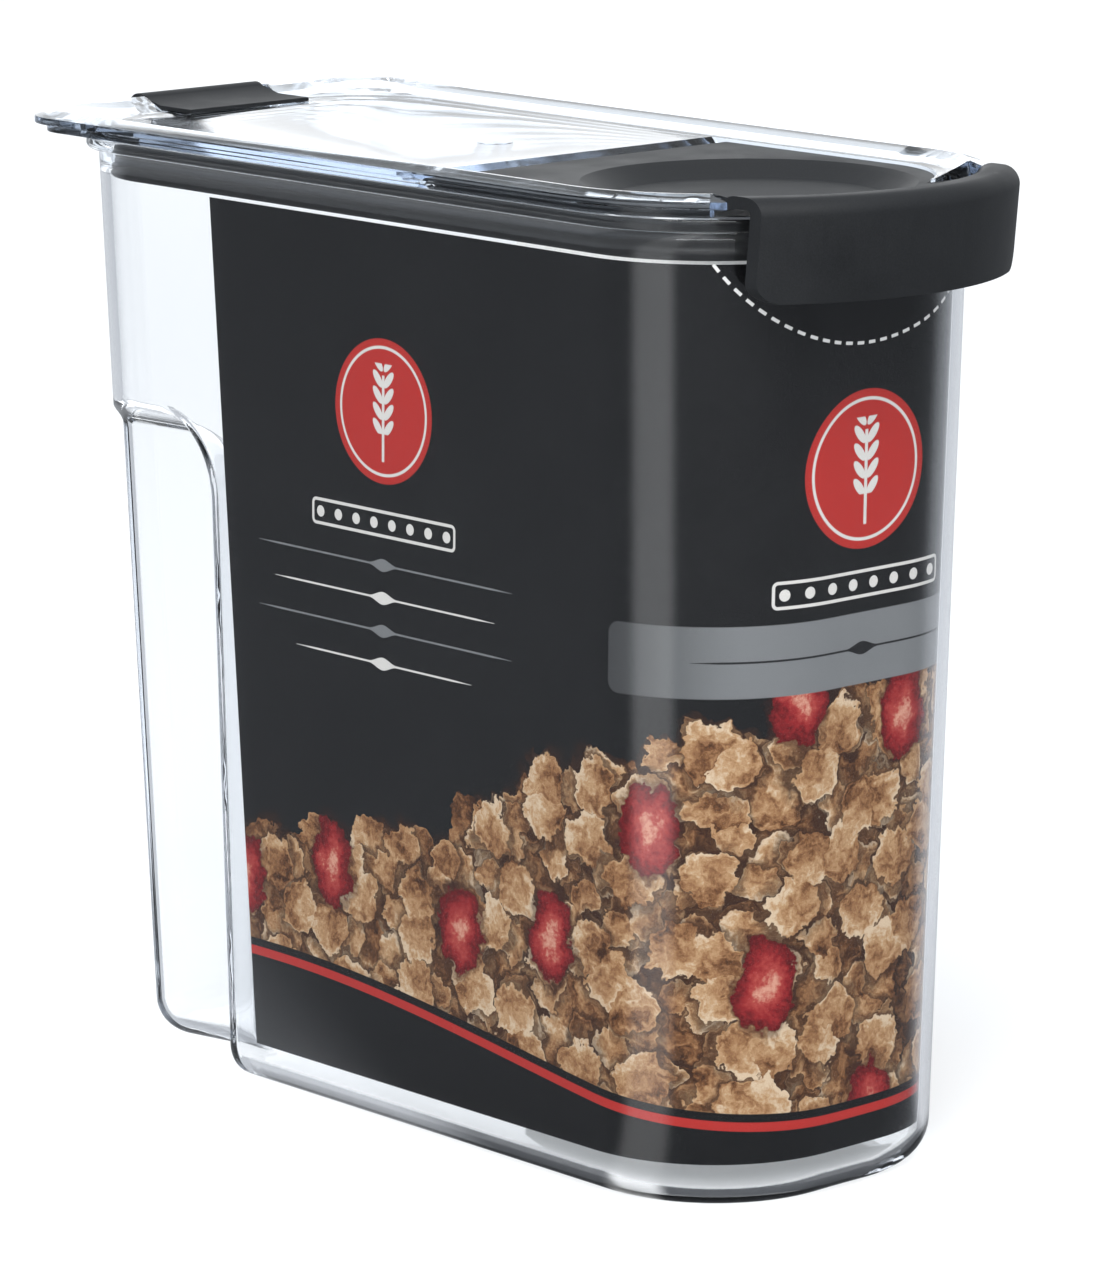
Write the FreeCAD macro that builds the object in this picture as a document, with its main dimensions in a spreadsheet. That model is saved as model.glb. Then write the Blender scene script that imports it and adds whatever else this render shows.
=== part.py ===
import FreeCAD, Part
import os
from types import SimpleNamespace
import Sketcher

# A clear food tub with a lift-off clear lid, a black flip-top pour door, a black rear latch and a
# printed card standing inside. Millimetres, +Z up, +X towards the pour end, origin under the middle.

Vector = FreeCAD.Vector
doc = FreeCAD.newDocument("cereal_container")
sheet = doc.addObject("Spreadsheet::Sheet", "size")

numbers = {
    # tub
    "rim_top": 231.0,
    "wall": 2.5,
    "floor_thickness": 3.0,
    "tub_half_width": 52.2,
    "tub_front": 113.9,
    "tub_rear": 122.1,
    "tub_front_flat": 8.4,
    "tub_rear_radius": 30.0,
    "side_taper": 5.3,
    "front_taper": 5.1,
    "rear_taper": 7.4,
    "base_radius": 9.0,
    "collar_height": 3.0,
    "collar_lip": 2.9,
    "collar_round": 1.0,
    # hand grips sunk in both sides at the rear
    "grip_length": 60.1,
    "grip_depth": 16.0,
    "grip_tail": 4.0,
    "grip_slope": 8.0,
    "grip_height": 168.0,
    "grip_arch_radius": 22.0,
    "grip_round": 5.0,
    # printed card
    "card_thickness": 0.5,
    "card_gap": 0.2,
    "card_top_gap": 0.6,
    "card_bottom": 11.0,
    "card_grip_gap": 0.7,
    "card_slant": 0.036,
    # lid
    "lid_gap": 0.2,
    "flange_side_overhang": 5.8,
    "flange_front_overhang": 7.1,
    "flange_rear_overhang": 7.9,
    "flange_front_flat": 8.0,
    "flange_rear_radius": 15.0,
    "downstand": 2.2,
    "downstand_inset": 3.0,
    "flange_edge": 1.7,
    "crest_rise": 1.3,
    "crest_inset": 4.0,
    "crest_width": 0.8,
    "panel_thickness": 2.2,
    "panel_inset": 11.5,
    "panel_rear_radius": 24.0,
    "skirt_thickness": 2.0,
    # seal round the lid's skirt
    "seal_depth": 10.0,
    "seal_gap": 0.3,
    "seal_thickness": 2.3,
    # well under the pour door
    "well_wall": 1.8,
    "deck_thickness": 1.8,
    "deck_gap": 0.6,
    "throat_collar": 2.0,
    # pour door
    "door_gap": 0.4,
    "door_step": 0.7,
    "door_plate": 2.0,
    "door_rim_gap": 0.4,
    "hinge_margin": 15.2,
    "barrel_radius": 2.8,
    "barrel_gap": 0.8,
    "pin_radius": 1.5,
    "pin_depth": 6.0,
    "pin_play": 0.05,
    "pin_gap": 0.3,
    "dish_side_margin": 13.4,
    "dish_front_margin": 2.6,
    "dish_flare": 6.5,
    "dish_depth": 3.8,
    "dish_floor": 1.8,
    "dish_gap": 0.4,
    "plug_inset": 3.5,
    "plug_wall": 1.8,
    "plug_depth": 5.4,
    "ring_radius": 0.8,
    "ring_sink": 0.2,
    "ring_gap": 0.3,
    # front lip of the door
    "lip_axis_back": 5.5,
    "lip_lap": 2.0,
    "lip_collar_gap": 6.3,
    "lip_end_inset": 17.3,
    "lip_run": 10.5,
    "lip_gap": 0.4,
    "lip_drop": 17.8,
    "lip_lean": 1.6,
    "lip_wall": 2.8,
    "lip_proud": 0.3,
    "lip_shoulder": 4.0,
    "lip_ridge_width": 2.2,
    "lip_sweep": 7.0,
    "lip_corner": 5.0,
    "lip_inner_round": 1.0,
    "tab_half_width": 12.0,
    "tab_thickness": 2.2,
    "tab_gap": 0.4,
    "hook_bite": 0.4,
    "hook_gap": 0.3,
    "hook_height": 3.0,
    "hook_nose": 1.0,
    # rear latch
    "latch_overhang": 6.3,
    "latch_rise": 1.2,
    "latch_half_width": 19.0,
    "latch_gap": 0.4,
    "latch_radius": 4.5,
    "hood_meet": 2.7,
    "latch_barrel": 3.2,
    "rod_radius": 1.6,
    "rod_play": 0.05,
    "boss_length": 3.0,
    "boss_half_depth": 2.6,
    "latch_skirt": 2.4,
    "flap_reach": 20.8,
    "flap_crease": 8.8,
    "flap_thickness": 1.0,
    "flap_gap": 0.2,
    "flap_travel": 1.6,
    "pocket_margin": 1.6,
    "pocket_floor": 1.2,
    # room that cutting shapes run past what they cut
    "overlap": 1.0,
    "headroom": 5.0,
}
for row, (alias, number) in enumerate(numbers.items(), 1):
    sheet.set(f"A{row}", alias)
    sheet.set(f"B{row}", str(number))
    sheet.setAlias(f"B{row}", alias)
doc.recompute()


class Size:
    # a length that knows both its number and the sheet expression it comes from
    def __init__(self, number, text):
        self.number = number
        self.text = text

    def __add__(self, other):
        other = as_size(other)
        return Size(self.number + other.number, f"({self.text} + {other.text})")

    def __sub__(self, other):
        other = as_size(other)
        return Size(self.number - other.number, f"({self.text} - {other.text})")

    def __mul__(self, other):
        other = as_size(other)
        return Size(self.number * other.number, f"({self.text} * {other.text})")

    def __truediv__(self, other):
        other = as_size(other)
        return Size(self.number / other.number, f"({self.text} / {other.text})")

    def __neg__(self):
        return Size(-self.number, f"(-{self.text})")


def as_size(value):
    return value if isinstance(value, Size) else Size(float(value), str(float(value)))


d = SimpleNamespace(**{alias: Size(float(sheet.get(alias)), f"size.{alias}") for alias in numbers})
zero = as_size(0)


def chord(radius, offset):
    # half the chord of a circle at a distance from its centre
    number = (radius.number ** 2 - offset.number ** 2) ** 0.5
    return Size(number, f"sqrt({radius.text} ^ 2 - {offset.text} ^ 2)")


def slanting(across, along):
    # length of the slanting side over two square ones
    number = (across.number ** 2 + along.number ** 2) ** 0.5
    return Size(number, f"sqrt({across.text} ^ 2 + {along.text} ^ 2)")


# Sizes that follow from those above, so that the pieces keep together when one changes
d.tub_front_radius = d.tub_half_width - d.side_taper - d.tub_front_flat
d.flange_half_width = d.tub_half_width + d.flange_side_overhang
d.flange_front = d.tub_front + d.flange_front_overhang
d.flange_rear = d.tub_rear + d.flange_rear_overhang
d.flange_front_radius = d.flange_half_width - d.flange_front_flat
d.dish_rim_radius = d.tub_half_width - d.dish_side_margin
d.dish_floor_radius = d.dish_rim_radius - d.dish_flare
d.dish_x = d.tub_front - d.dish_front_margin - d.dish_rim_radius
d.plug_radius = d.dish_floor_radius - d.plug_inset
d.hinge_x = d.dish_x - d.dish_rim_radius - d.hinge_margin
d.lip_half_width = d.flange_half_width - d.lip_end_inset
bend_x = d.tub_front - d.tub_front_radius
bend_y = d.tub_half_width - d.tub_front_radius
collar_x = bend_x + chord(d.tub_front_radius + d.collar_lip, d.lip_half_width - bend_y)
d.lip_x = d.dish_x - d.lip_axis_back
collar_reach = slanting(collar_x - d.lip_x, d.lip_half_width)
d.lip_radius = collar_reach + d.lip_collar_gap + d.lip_wall
d.lip_start = d.tub_front - d.lip_run
d.lip_bottom = d.rim_top - d.lip_drop
d.latch_x = d.tub_rear + d.latch_overhang
d.grip_ridge = d.tub_rear - d.grip_length
d.grip_spring = d.grip_height - d.grip_arch_radius
card_at_spring = d.grip_ridge - d.wall - d.card_grip_gap


def bind(thing, name, value):
    thing.setExpression(name, as_size(value).text)


def add(kind, name):
    return doc.addObject(kind, name)


# Sketches, each drawn in place and then held by constraints bound to the sheet
def hold(sketch, kind, geometry, vertex, value):
    # distance of a vertex from the sketch's origin along one axis, kept positive
    if value.number >= 0:
        constraint = Sketcher.Constraint(kind, -1, 1, geometry, vertex, max(value.number, 1e-6))
        wanted = value
    else:
        constraint = Sketcher.Constraint(kind, geometry, vertex, -1, 1, -value.number)
        wanted = -value
    index = sketch.addConstraint(constraint)
    sketch.setExpression(f"Constraints[{index}]", wanted.text)


def plan(name, level, outline):
    # rounded outline seen from above: two rear corners of one radius, two front corners of another
    sketch = add("Sketcher::SketchObject", name)
    bind(sketch, "Placement.Base.z", level)
    half, rear, front = outline.half.number, -outline.rear.number, outline.front.number
    back_r, front_r = outline.rear_radius.number, outline.front_radius.number
    corners = [(rear, -half, back_r), (front, -half, front_r), (front, half, front_r), (rear, half, back_r)]
    steps = [(1, 0), (0, 1), (-1, 0), (0, -1)]
    for (x, y, r), (u, v), (x2, y2, r2) in zip(corners, steps, corners[1:] + corners[:1]):
        start = Vector(x + u * r, y + v * r, 0)
        end = Vector(x2 - u * r2, y2 - v * r2, 0)
        sketch.addGeometry(Part.LineSegment(start, end))
    turn = 1.5707963267948966
    for side in range(4):
        x, y, r = corners[(side + 1) % 4]
        u, v = steps[side]
        p, q = steps[(side + 1) % 4]
        centre = Vector(x - u * r + p * r, y - v * r + q * r, 0)
        first = (side - 1) * turn
        sketch.addGeometry(Part.ArcOfCircle(Part.Circle(centre, Vector(0, 0, 1), r), first, first + turn))
    for side in range(4):
        sketch.addConstraint(Sketcher.Constraint("Tangent", side, 2, 4 + side, 1))
        sketch.addConstraint(Sketcher.Constraint("Tangent", 4 + side, 2, (side + 1) % 4, 1))
        sketch.addConstraint(Sketcher.Constraint("Vertical" if side % 2 else "Horizontal", side))
    hold(sketch, "DistanceY", 0, 1, -outline.half)
    hold(sketch, "DistanceX", 1, 1, outline.front)
    hold(sketch, "DistanceY", 2, 1, outline.half)
    hold(sketch, "DistanceX", 3, 1, -outline.rear)
    radii = [outline.front_radius, outline.front_radius, outline.rear_radius, outline.rear_radius]
    for arc, radius in enumerate(radii, 4):
        index = sketch.addConstraint(Sketcher.Constraint("Radius", arc, radius.number))
        sketch.setExpression(f"Constraints[{index}]", radius.text)
    return sketch


def profile(name, points, view="top"):
    # closed outline through the points; a third entry makes the stretch up to that point an arc,
    # bulging left of the way for a positive radius; view "side" draws in X and Z, "end" in Y and Z
    sketch = add("Sketcher::SketchObject", name)
    if view == "side":
        sketch.Placement = FreeCAD.Placement(Vector(0, 0, 0), FreeCAD.Rotation(Vector(1, 0, 0), 90))
    if view == "end":
        sketch.Placement = FreeCAD.Placement(Vector(0, 0, 0), FreeCAD.Rotation(Vector(1, 1, 1), 120))
    spots = [Vector(as_size(p[0]).number, as_size(p[1]).number, 0) for p in points]
    count = len(points)
    vertices = []
    for index in range(count):
        start, end = spots[index - 1], spots[index]
        if len(points[index]) == 2:
            sketch.addGeometry(Part.LineSegment(start, end))
            vertices.append((1, 2))
            continue
        radius = points[index][2].number
        chord = end - start
        left = Vector(-chord.y, chord.x, 0).normalize()
        depth = abs(radius) - (radius * radius - chord.Length ** 2 / 4) ** 0.5
        middle = (start + end) * 0.5 + left * (depth if radius > 0 else -depth)
        sketch.addGeometry(Part.Arc(start, middle, end))
        vertices.append((2, 1) if radius > 0 else (1, 2))
    for index in range(count):
        following = (index + 1) % count
        joint = (index, vertices[index][1], following, vertices[following][0])
        sketch.addConstraint(Sketcher.Constraint("Coincident", *joint))
        hold(sketch, "DistanceX", index, vertices[index][1], as_size(points[index][0]))
        hold(sketch, "DistanceY", index, vertices[index][1], as_size(points[index][1]))
        if len(points[index]) == 3:
            radius = points[index][2]
            wanted = radius if radius.number > 0 else -radius
            row = sketch.addConstraint(Sketcher.Constraint("Radius", index, wanted.number))
            sketch.setExpression(f"Constraints[{row}]", wanted.text)
    return sketch


# Solids
def extrude(name, sketch, length, direction=Vector(0, 0, 1), both_ways=False):
    solid = add("Part::Extrusion", name)
    solid.Base = sketch
    solid.DirMode = "Custom"
    solid.Dir = direction
    solid.Solid = True
    bind(solid, "LengthFwd", length)
    if both_ways:
        bind(solid, "LengthRev", length)
    return solid


def loft(name, low, high):
    solid = add("Part::Loft", name)
    solid.Sections = [low, high]
    solid.Solid = True
    solid.Ruled = True
    return solid


def revolve(name, sketch, centre_x):
    solid = add("Part::Revolution", name)
    solid.Source = sketch
    solid.Axis = Vector(0, 0, 1)
    solid.Solid = True
    bind(solid, "Base.x", centre_x)
    return solid


def block(name, x, y, z):
    # box between the two limits given for each axis
    solid = add("Part::Box", name)
    for axis, side, limits in (("x", "Length", x), ("y", "Width", y), ("z", "Height", z)):
        low, high = as_size(limits[0]), as_size(limits[1])
        bind(solid, f"Placement.Base.{axis}", low)
        bind(solid, side, high - low)
    return solid


def upright(name, radius, x, low, high):
    solid = add("Part::Cylinder", name)
    bind(solid, "Radius", radius)
    bind(solid, "Height", as_size(high) - low)
    bind(solid, "Placement.Base.x", x)
    bind(solid, "Placement.Base.z", low)
    return solid


def crosswise(name, radius, x, z, start, end):
    # cylinder along Y from start to end
    solid = add("Part::Cylinder", name)
    solid.Placement.Rotation = FreeCAD.Rotation(Vector(1, 0, 0), -90)
    bind(solid, "Radius", radius)
    bind(solid, "Height", as_size(end) - start)
    bind(solid, "Placement.Base.x", x)
    bind(solid, "Placement.Base.y", start)
    bind(solid, "Placement.Base.z", z)
    return solid


def frustum(name, x, low, low_radius, high, high_radius):
    solid = add("Part::Cone", name)
    bind(solid, "Radius1", low_radius)
    bind(solid, "Radius2", high_radius)
    bind(solid, "Height", as_size(high) - low)
    bind(solid, "Placement.Base.x", x)
    bind(solid, "Placement.Base.z", low)
    return solid


def fuse(name, *parts):
    solid = add("Part::MultiFuse", name)
    solid.Shapes = list(parts)
    solid.Refine = True
    return solid


def common(name, base, tool):
    solid = add("Part::MultiCommon", name)
    solid.Shapes = [base, tool]
    return solid


def cut(name, base, *tools):
    for index, tool in enumerate(tools):
        solid = add("Part::Cut", name if index == len(tools) - 1 else f"{name}_step")
        solid.Base = base
        solid.Tool = tool
        base = solid
    solid.Refine = True
    return solid


def mirror(name, source):
    solid = add("Part::Mirroring", name)
    solid.Source = source
    solid.Normal = Vector(0, 1, 0)
    return solid


def rounded(name, base, radius, wanted):
    # fillet on every edge of the base that the test picks
    doc.recompute()
    solid = add("Part::Fillet", name)
    solid.Base = base
    edges = enumerate(base.Shape.Edges, 1)
    solid.Edges = [(index, radius.number, radius.number) for index, edge in edges if wanted(edge)]
    return solid


def at_level(level):
    # test for an edge that lies flat at a height
    def lies_flat(edge):
        box = edge.BoundBox
        return abs(box.ZMin - level.number) < 1e-4 and abs(box.ZMax - level.number) < 1e-4
    return lies_flat


# Outlines of the tub and the lid
def tub_outline(level, inset=zero):
    # the walls lean in towards the floor
    share = (d.rim_top - level) / d.rim_top
    return SimpleNamespace(
        half=d.tub_half_width - d.side_taper * share - inset,
        rear=d.tub_rear - d.rear_taper * share - inset,
        front=d.tub_front - d.front_taper * share - inset,
        rear_radius=d.tub_rear_radius - inset,
        front_radius=d.tub_front_radius - inset,
    )


def lid_outline(inset, rear_radius=None):
    return SimpleNamespace(
        half=d.flange_half_width - inset,
        rear=d.flange_rear - inset,
        front=d.flange_front - inset,
        rear_radius=rear_radius or d.flange_rear_radius - inset,
        front_radius=d.flange_front_radius - inset,
    )


# Levels shared by several pieces
collar_low = d.rim_top - d.collar_height
lid_low = d.rim_top + d.lid_gap
flange_low = lid_low + d.downstand
flange_high = flange_low + d.flange_edge
crest = flange_high + d.crest_rise
panel_top = lid_low + d.panel_thickness
seal_low = d.rim_top - d.seal_depth
card_top = seal_low - d.card_top_gap
lip_crest = crest + d.lip_proud
door_top = panel_top - d.door_step
hinge_z = door_top - d.barrel_radius
deck_top = hinge_z - d.barrel_radius - d.deck_gap
deck_low = deck_top - d.deck_thickness
dish_top = door_top - d.dish_depth
dish_low = dish_top - d.dish_floor
door_over_rim = d.rim_top + d.door_rim_gap
above_all = crest + d.headroom

# Insets from the tub's outer face, at the foot of the seal
seal_outside = d.wall + d.seal_gap
seal_inside = seal_outside + d.seal_thickness
skirt_inside = seal_inside + d.skirt_thickness
well = tub_outline(seal_low, skirt_inside)
well_back = d.hinge_x - d.barrel_radius - d.barrel_gap
far_out = d.flange_half_width * 2


def make_tub():
    def grip(name, extra):
        # what is cut away at the near rear corner, grown by extra for the cavity's side of the wall
        edge = -d.grip_ridge + extra
        lean = d.grip_slope / d.grip_depth
        behind = -d.tub_rear * 2

        def slice_at(level, tag):
            deep = tub_outline(level).half - d.grip_depth - extra
            foot = edge - d.grip_slope
            sketch = profile(f"{name}_{tag}", [
                (behind, -far_out), (foot + lean * (far_out - deep), -far_out), (foot, -deep),
                (-d.tub_rear, -deep - d.grip_tail), (behind, -deep - d.grip_tail)])
            bind(sketch, "Placement.Base.z", level)
            return sketch

        low = -d.overlap
        prism = loft(f"{name}_prism", slice_at(low, "low"), slice_at(d.rim_top, "high"))
        top = d.grip_height + extra
        radius = d.grip_arch_radius + extra
        arch = profile(f"{name}_arch", [(behind, low), (edge, low), (edge, top - radius),
                                        (edge - radius, top, -radius), (behind, top)], "side")
        sharp = common(f"{name}_sharp", prism, extrude(f"{name}_gate", arch, far_out, Vector(0, 1, 0), True))

        def at_the_back(edge):
            # where the back of the recess meets its front slope and its arch
            middle = edge.valueAt((edge.FirstParameter + edge.LastParameter) / 2)
            depth = (tub_outline(as_size(middle.z)).half - extra).number - abs(middle.y)
            box = edge.BoundBox
            inside = box.XMax > -d.tub_rear.number + d.overlap.number and box.ZMax > 0
            return inside and depth > (d.grip_depth - d.grip_tail).number

        return rounded(name, sharp, d.grip_round + extra, at_the_back)

    grip_out = grip("grip_outside", zero)
    grip_in = grip("grip_inside", d.wall)
    raw = loft("tub_raw", plan("tub_foot", zero, tub_outline(zero)),
               plan("tub_head", d.rim_top, tub_outline(d.rim_top)))
    outside = rounded("tub_outside", raw, d.base_radius, at_level(zero))
    gripped = cut("tub_gripped", outside, grip_out, mirror("grip_outside_far", grip_out))
    collar_plan = tub_outline(d.rim_top, -d.collar_lip)
    collar_raw = extrude("collar_raw", plan("collar_plan", collar_low, collar_plan), d.collar_height)
    collar = rounded("collar", collar_raw, d.collar_round, at_level(collar_low))
    above = d.rim_top + d.overlap
    hollow_foot = plan("hollow_foot", d.floor_thickness, tub_outline(d.floor_thickness, d.wall))
    hollow_raw = loft("hollow_raw", hollow_foot, plan("hollow_head", above, tub_outline(above, d.wall)))
    hollow = rounded("hollow", hollow_raw, d.base_radius - d.wall, at_level(d.floor_thickness))
    hollow_gripped = cut("hollow_gripped", hollow, grip_in, mirror("grip_inside_far", grip_in))
    return cut("tub", fuse("tub_solid", gripped, collar), hollow_gripped)


def make_card():
    outside = d.wall + d.card_gap
    inside = outside + d.card_thickness
    sheets = []
    for tag, inset, spare in (("outer", outside, zero), ("inner", inside, d.overlap)):
        low = d.card_bottom - spare
        high = card_top + spare
        foot = plan(f"card_{tag}_foot", low, tub_outline(low, inset))
        head = plan(f"card_{tag}_head", high, tub_outline(high, inset))
        sheets.append(loft(f"card_{tag}", foot, head))
    ring = cut("card_ring", *sheets)
    # the rear edge leans back and passes the grips just in front of where their arches spring
    rear_bottom = card_at_spring - d.card_slant * (d.grip_spring - d.card_bottom)
    rear_top = card_at_spring + d.card_slant * (card_top - d.grip_spring)
    kept = profile("card_side", [(-rear_bottom, d.card_bottom), (far_out * 2, d.card_bottom),
                                 (far_out * 2, card_top), (-rear_top, card_top)], "side")
    return common("label_card", ring, extrude("card_kept", kept, far_out, Vector(0, 1, 0), True))


def dish_clearance(name):
    # room for the underside of the door's dish
    low = dish_low - d.dish_gap
    high = door_top - d.door_plate - d.dish_gap
    edge = d.dish_rim_radius
    cone = frustum(f"{name}_cone", d.dish_x, low, d.dish_floor_radius + d.dish_gap, high, edge)
    shaft = upright(f"{name}_shaft", edge, d.dish_x, high, above_all)
    return fuse(name, cone, shaft)


def make_lid():
    low_plan = plan("downstand_plan", lid_low, lid_outline(d.downstand_inset))
    edge_plan = plan("flange_plan", flange_low, lid_outline(zero))
    slope_low = plan("slope_low", flange_high, lid_outline(zero))
    slope_high = plan("slope_high", crest, lid_outline(d.crest_inset))
    brim = fuse("brim", extrude("downstand", low_plan, d.downstand),
                extrude("flange", edge_plan, d.flange_edge), loft("crest_slope", slope_low, slope_high))
    # the basin's sloping side runs on a tenth past the crest
    past = 1.1
    slope_width = d.panel_inset - d.crest_inset - d.crest_width
    basin_foot = plan("basin_foot", panel_top, lid_outline(d.panel_inset, d.panel_rear_radius))
    basin_head = plan("basin_head", panel_top + (crest - panel_top) * past,
                      lid_outline(d.panel_inset - slope_width * past, d.panel_rear_radius))
    tray = cut("tray", brim, loft("basin", basin_foot, basin_head))

    skirt_top = lid_low + d.overlap
    skirt_plan = plan("skirt_plan", seal_low, tub_outline(seal_low, seal_inside))
    skirt_out = extrude("skirt_out", skirt_plan, skirt_top - seal_low)
    skirt_in = extrude("skirt_in", plan("well_plan", seal_low - d.overlap, well), above_all - seal_low)
    skirt = cut("skirt", skirt_out, skirt_in)
    front_room = block("front_room", (well_back, far_out), (-far_out, far_out), (deck_top, above_all))
    well_space = common("well_space", skirt_in, front_room)
    deck_room = block("deck_room", (well_back - d.well_wall, far_out), (-far_out, far_out),
                      (deck_low, deck_top))
    deck_plan = plan("deck_plan", deck_low, tub_outline(seal_low, seal_inside))
    deck = common("deck", extrude("deck_sheet", deck_plan, d.deck_thickness), deck_room)
    back_wall = block("well_back_wall", (well_back - d.well_wall, well_back), (-well.half, well.half),
                      (deck_low, lid_low))
    throat_radius = d.plug_radius - d.ring_sink + d.ring_radius * 2 + d.ring_gap
    throat_ring = upright("throat_ring", throat_radius + d.deck_thickness, d.dish_x,
                          deck_low - d.throat_collar, deck_top)
    throat = upright("throat", throat_radius, d.dish_x, seal_low - d.overlap, above_all)
    over = panel_top + d.overlap
    wedge = profile("panel_chamfer", [
        (well_back - d.panel_thickness, over), (well_back - d.panel_thickness, panel_top),
        (well_back, lid_low), (well_back + d.overlap, lid_low), (well_back + d.overlap, over)], "side")
    chamfer = extrude("panel_bevel", wedge, well.half, Vector(0, 1, 0), True)

    # room for the door's lip and for the rear latch
    lip_side = d.lip_half_width + d.lip_gap
    lip_room = block("lip_room", (d.lip_start - d.lip_gap, far_out * 2), (-lip_side, lip_side),
                     (d.rim_top, above_all))
    latch_side = d.latch_half_width + d.latch_gap
    notch_front = -d.latch_x + d.latch_barrel + d.latch_gap
    notch = block("latch_notch", (-far_out * 2, notch_front), (-latch_side, latch_side),
                  (d.rim_top, above_all))
    flap_tip = -d.latch_x + d.flap_reach
    crease = -d.latch_x + d.flap_crease
    arm_travel = d.flap_travel * d.flap_crease / d.flap_reach
    arm_room = block("latch_arm_room", (notch_front, crease + d.overlap), (-latch_side, latch_side),
                     (panel_top - arm_travel, above_all))
    pocket = block("flap_pocket", (crease, flap_tip + d.pocket_margin), (-latch_side, latch_side),
                   (panel_top - d.flap_travel, above_all))
    floor_side = latch_side + d.pocket_margin
    pocket_floor = block("flap_pocket_floor", (-well.rear, flap_tip + d.pocket_margin * 2),
                         (-floor_side, floor_side), (lid_low - d.pocket_floor, lid_low))
    latch_z = lid_low + d.latch_rise
    boss_x = (-d.latch_x - d.boss_half_depth, -d.latch_x + d.boss_half_depth)
    boss = block("latch_boss", boss_x, (latch_side, latch_side + d.boss_length),
                 (latch_z - d.boss_half_depth, flange_high))
    rod_end = latch_side + d.overlap
    rod = crosswise("latch_rod", d.rod_radius, -d.latch_x, latch_z, -rod_end, rod_end)
    bore_end = well.half + d.skirt_thickness + d.overlap
    bore = crosswise("hinge_bore", d.pin_radius + d.pin_play, d.hinge_x, hinge_z, -bore_end, bore_end)

    shell = cut("lid_shell", fuse("lid_tray", tray, skirt), well_space, chamfer)
    body = fuse("lid_body", shell, deck, back_wall, throat_ring, pocket_floor)
    opened = cut("lid_opened", body, throat, dish_clearance("dish_room"), lip_room, notch, arm_room, pocket,
                 bore)
    return fuse("lid_frame", opened, boss, mirror("latch_boss_far", boss), rod)


def make_seal():
    outer_plan = plan("seal_plan", seal_low, tub_outline(seal_low, seal_outside))
    outer = extrude("seal_outer", outer_plan, lid_low - seal_low)
    inner_plan = plan("seal_inner_plan", seal_low - d.overlap, tub_outline(seal_low, seal_inside))
    inner = extrude("seal_inner", inner_plan, above_all - seal_low)
    return cut("lid_gasket", outer, inner, dish_clearance("seal_room"))


def plug_ring(name):
    ring = add("Part::Torus", name)
    bind(ring, "Radius1", d.plug_radius - d.ring_sink + d.ring_radius)
    bind(ring, "Radius2", d.ring_radius)
    bind(ring, "Placement.Base.x", d.dish_x)
    bind(ring, "Placement.Base.z", deck_top - d.deck_thickness / 2)
    return ring


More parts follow.
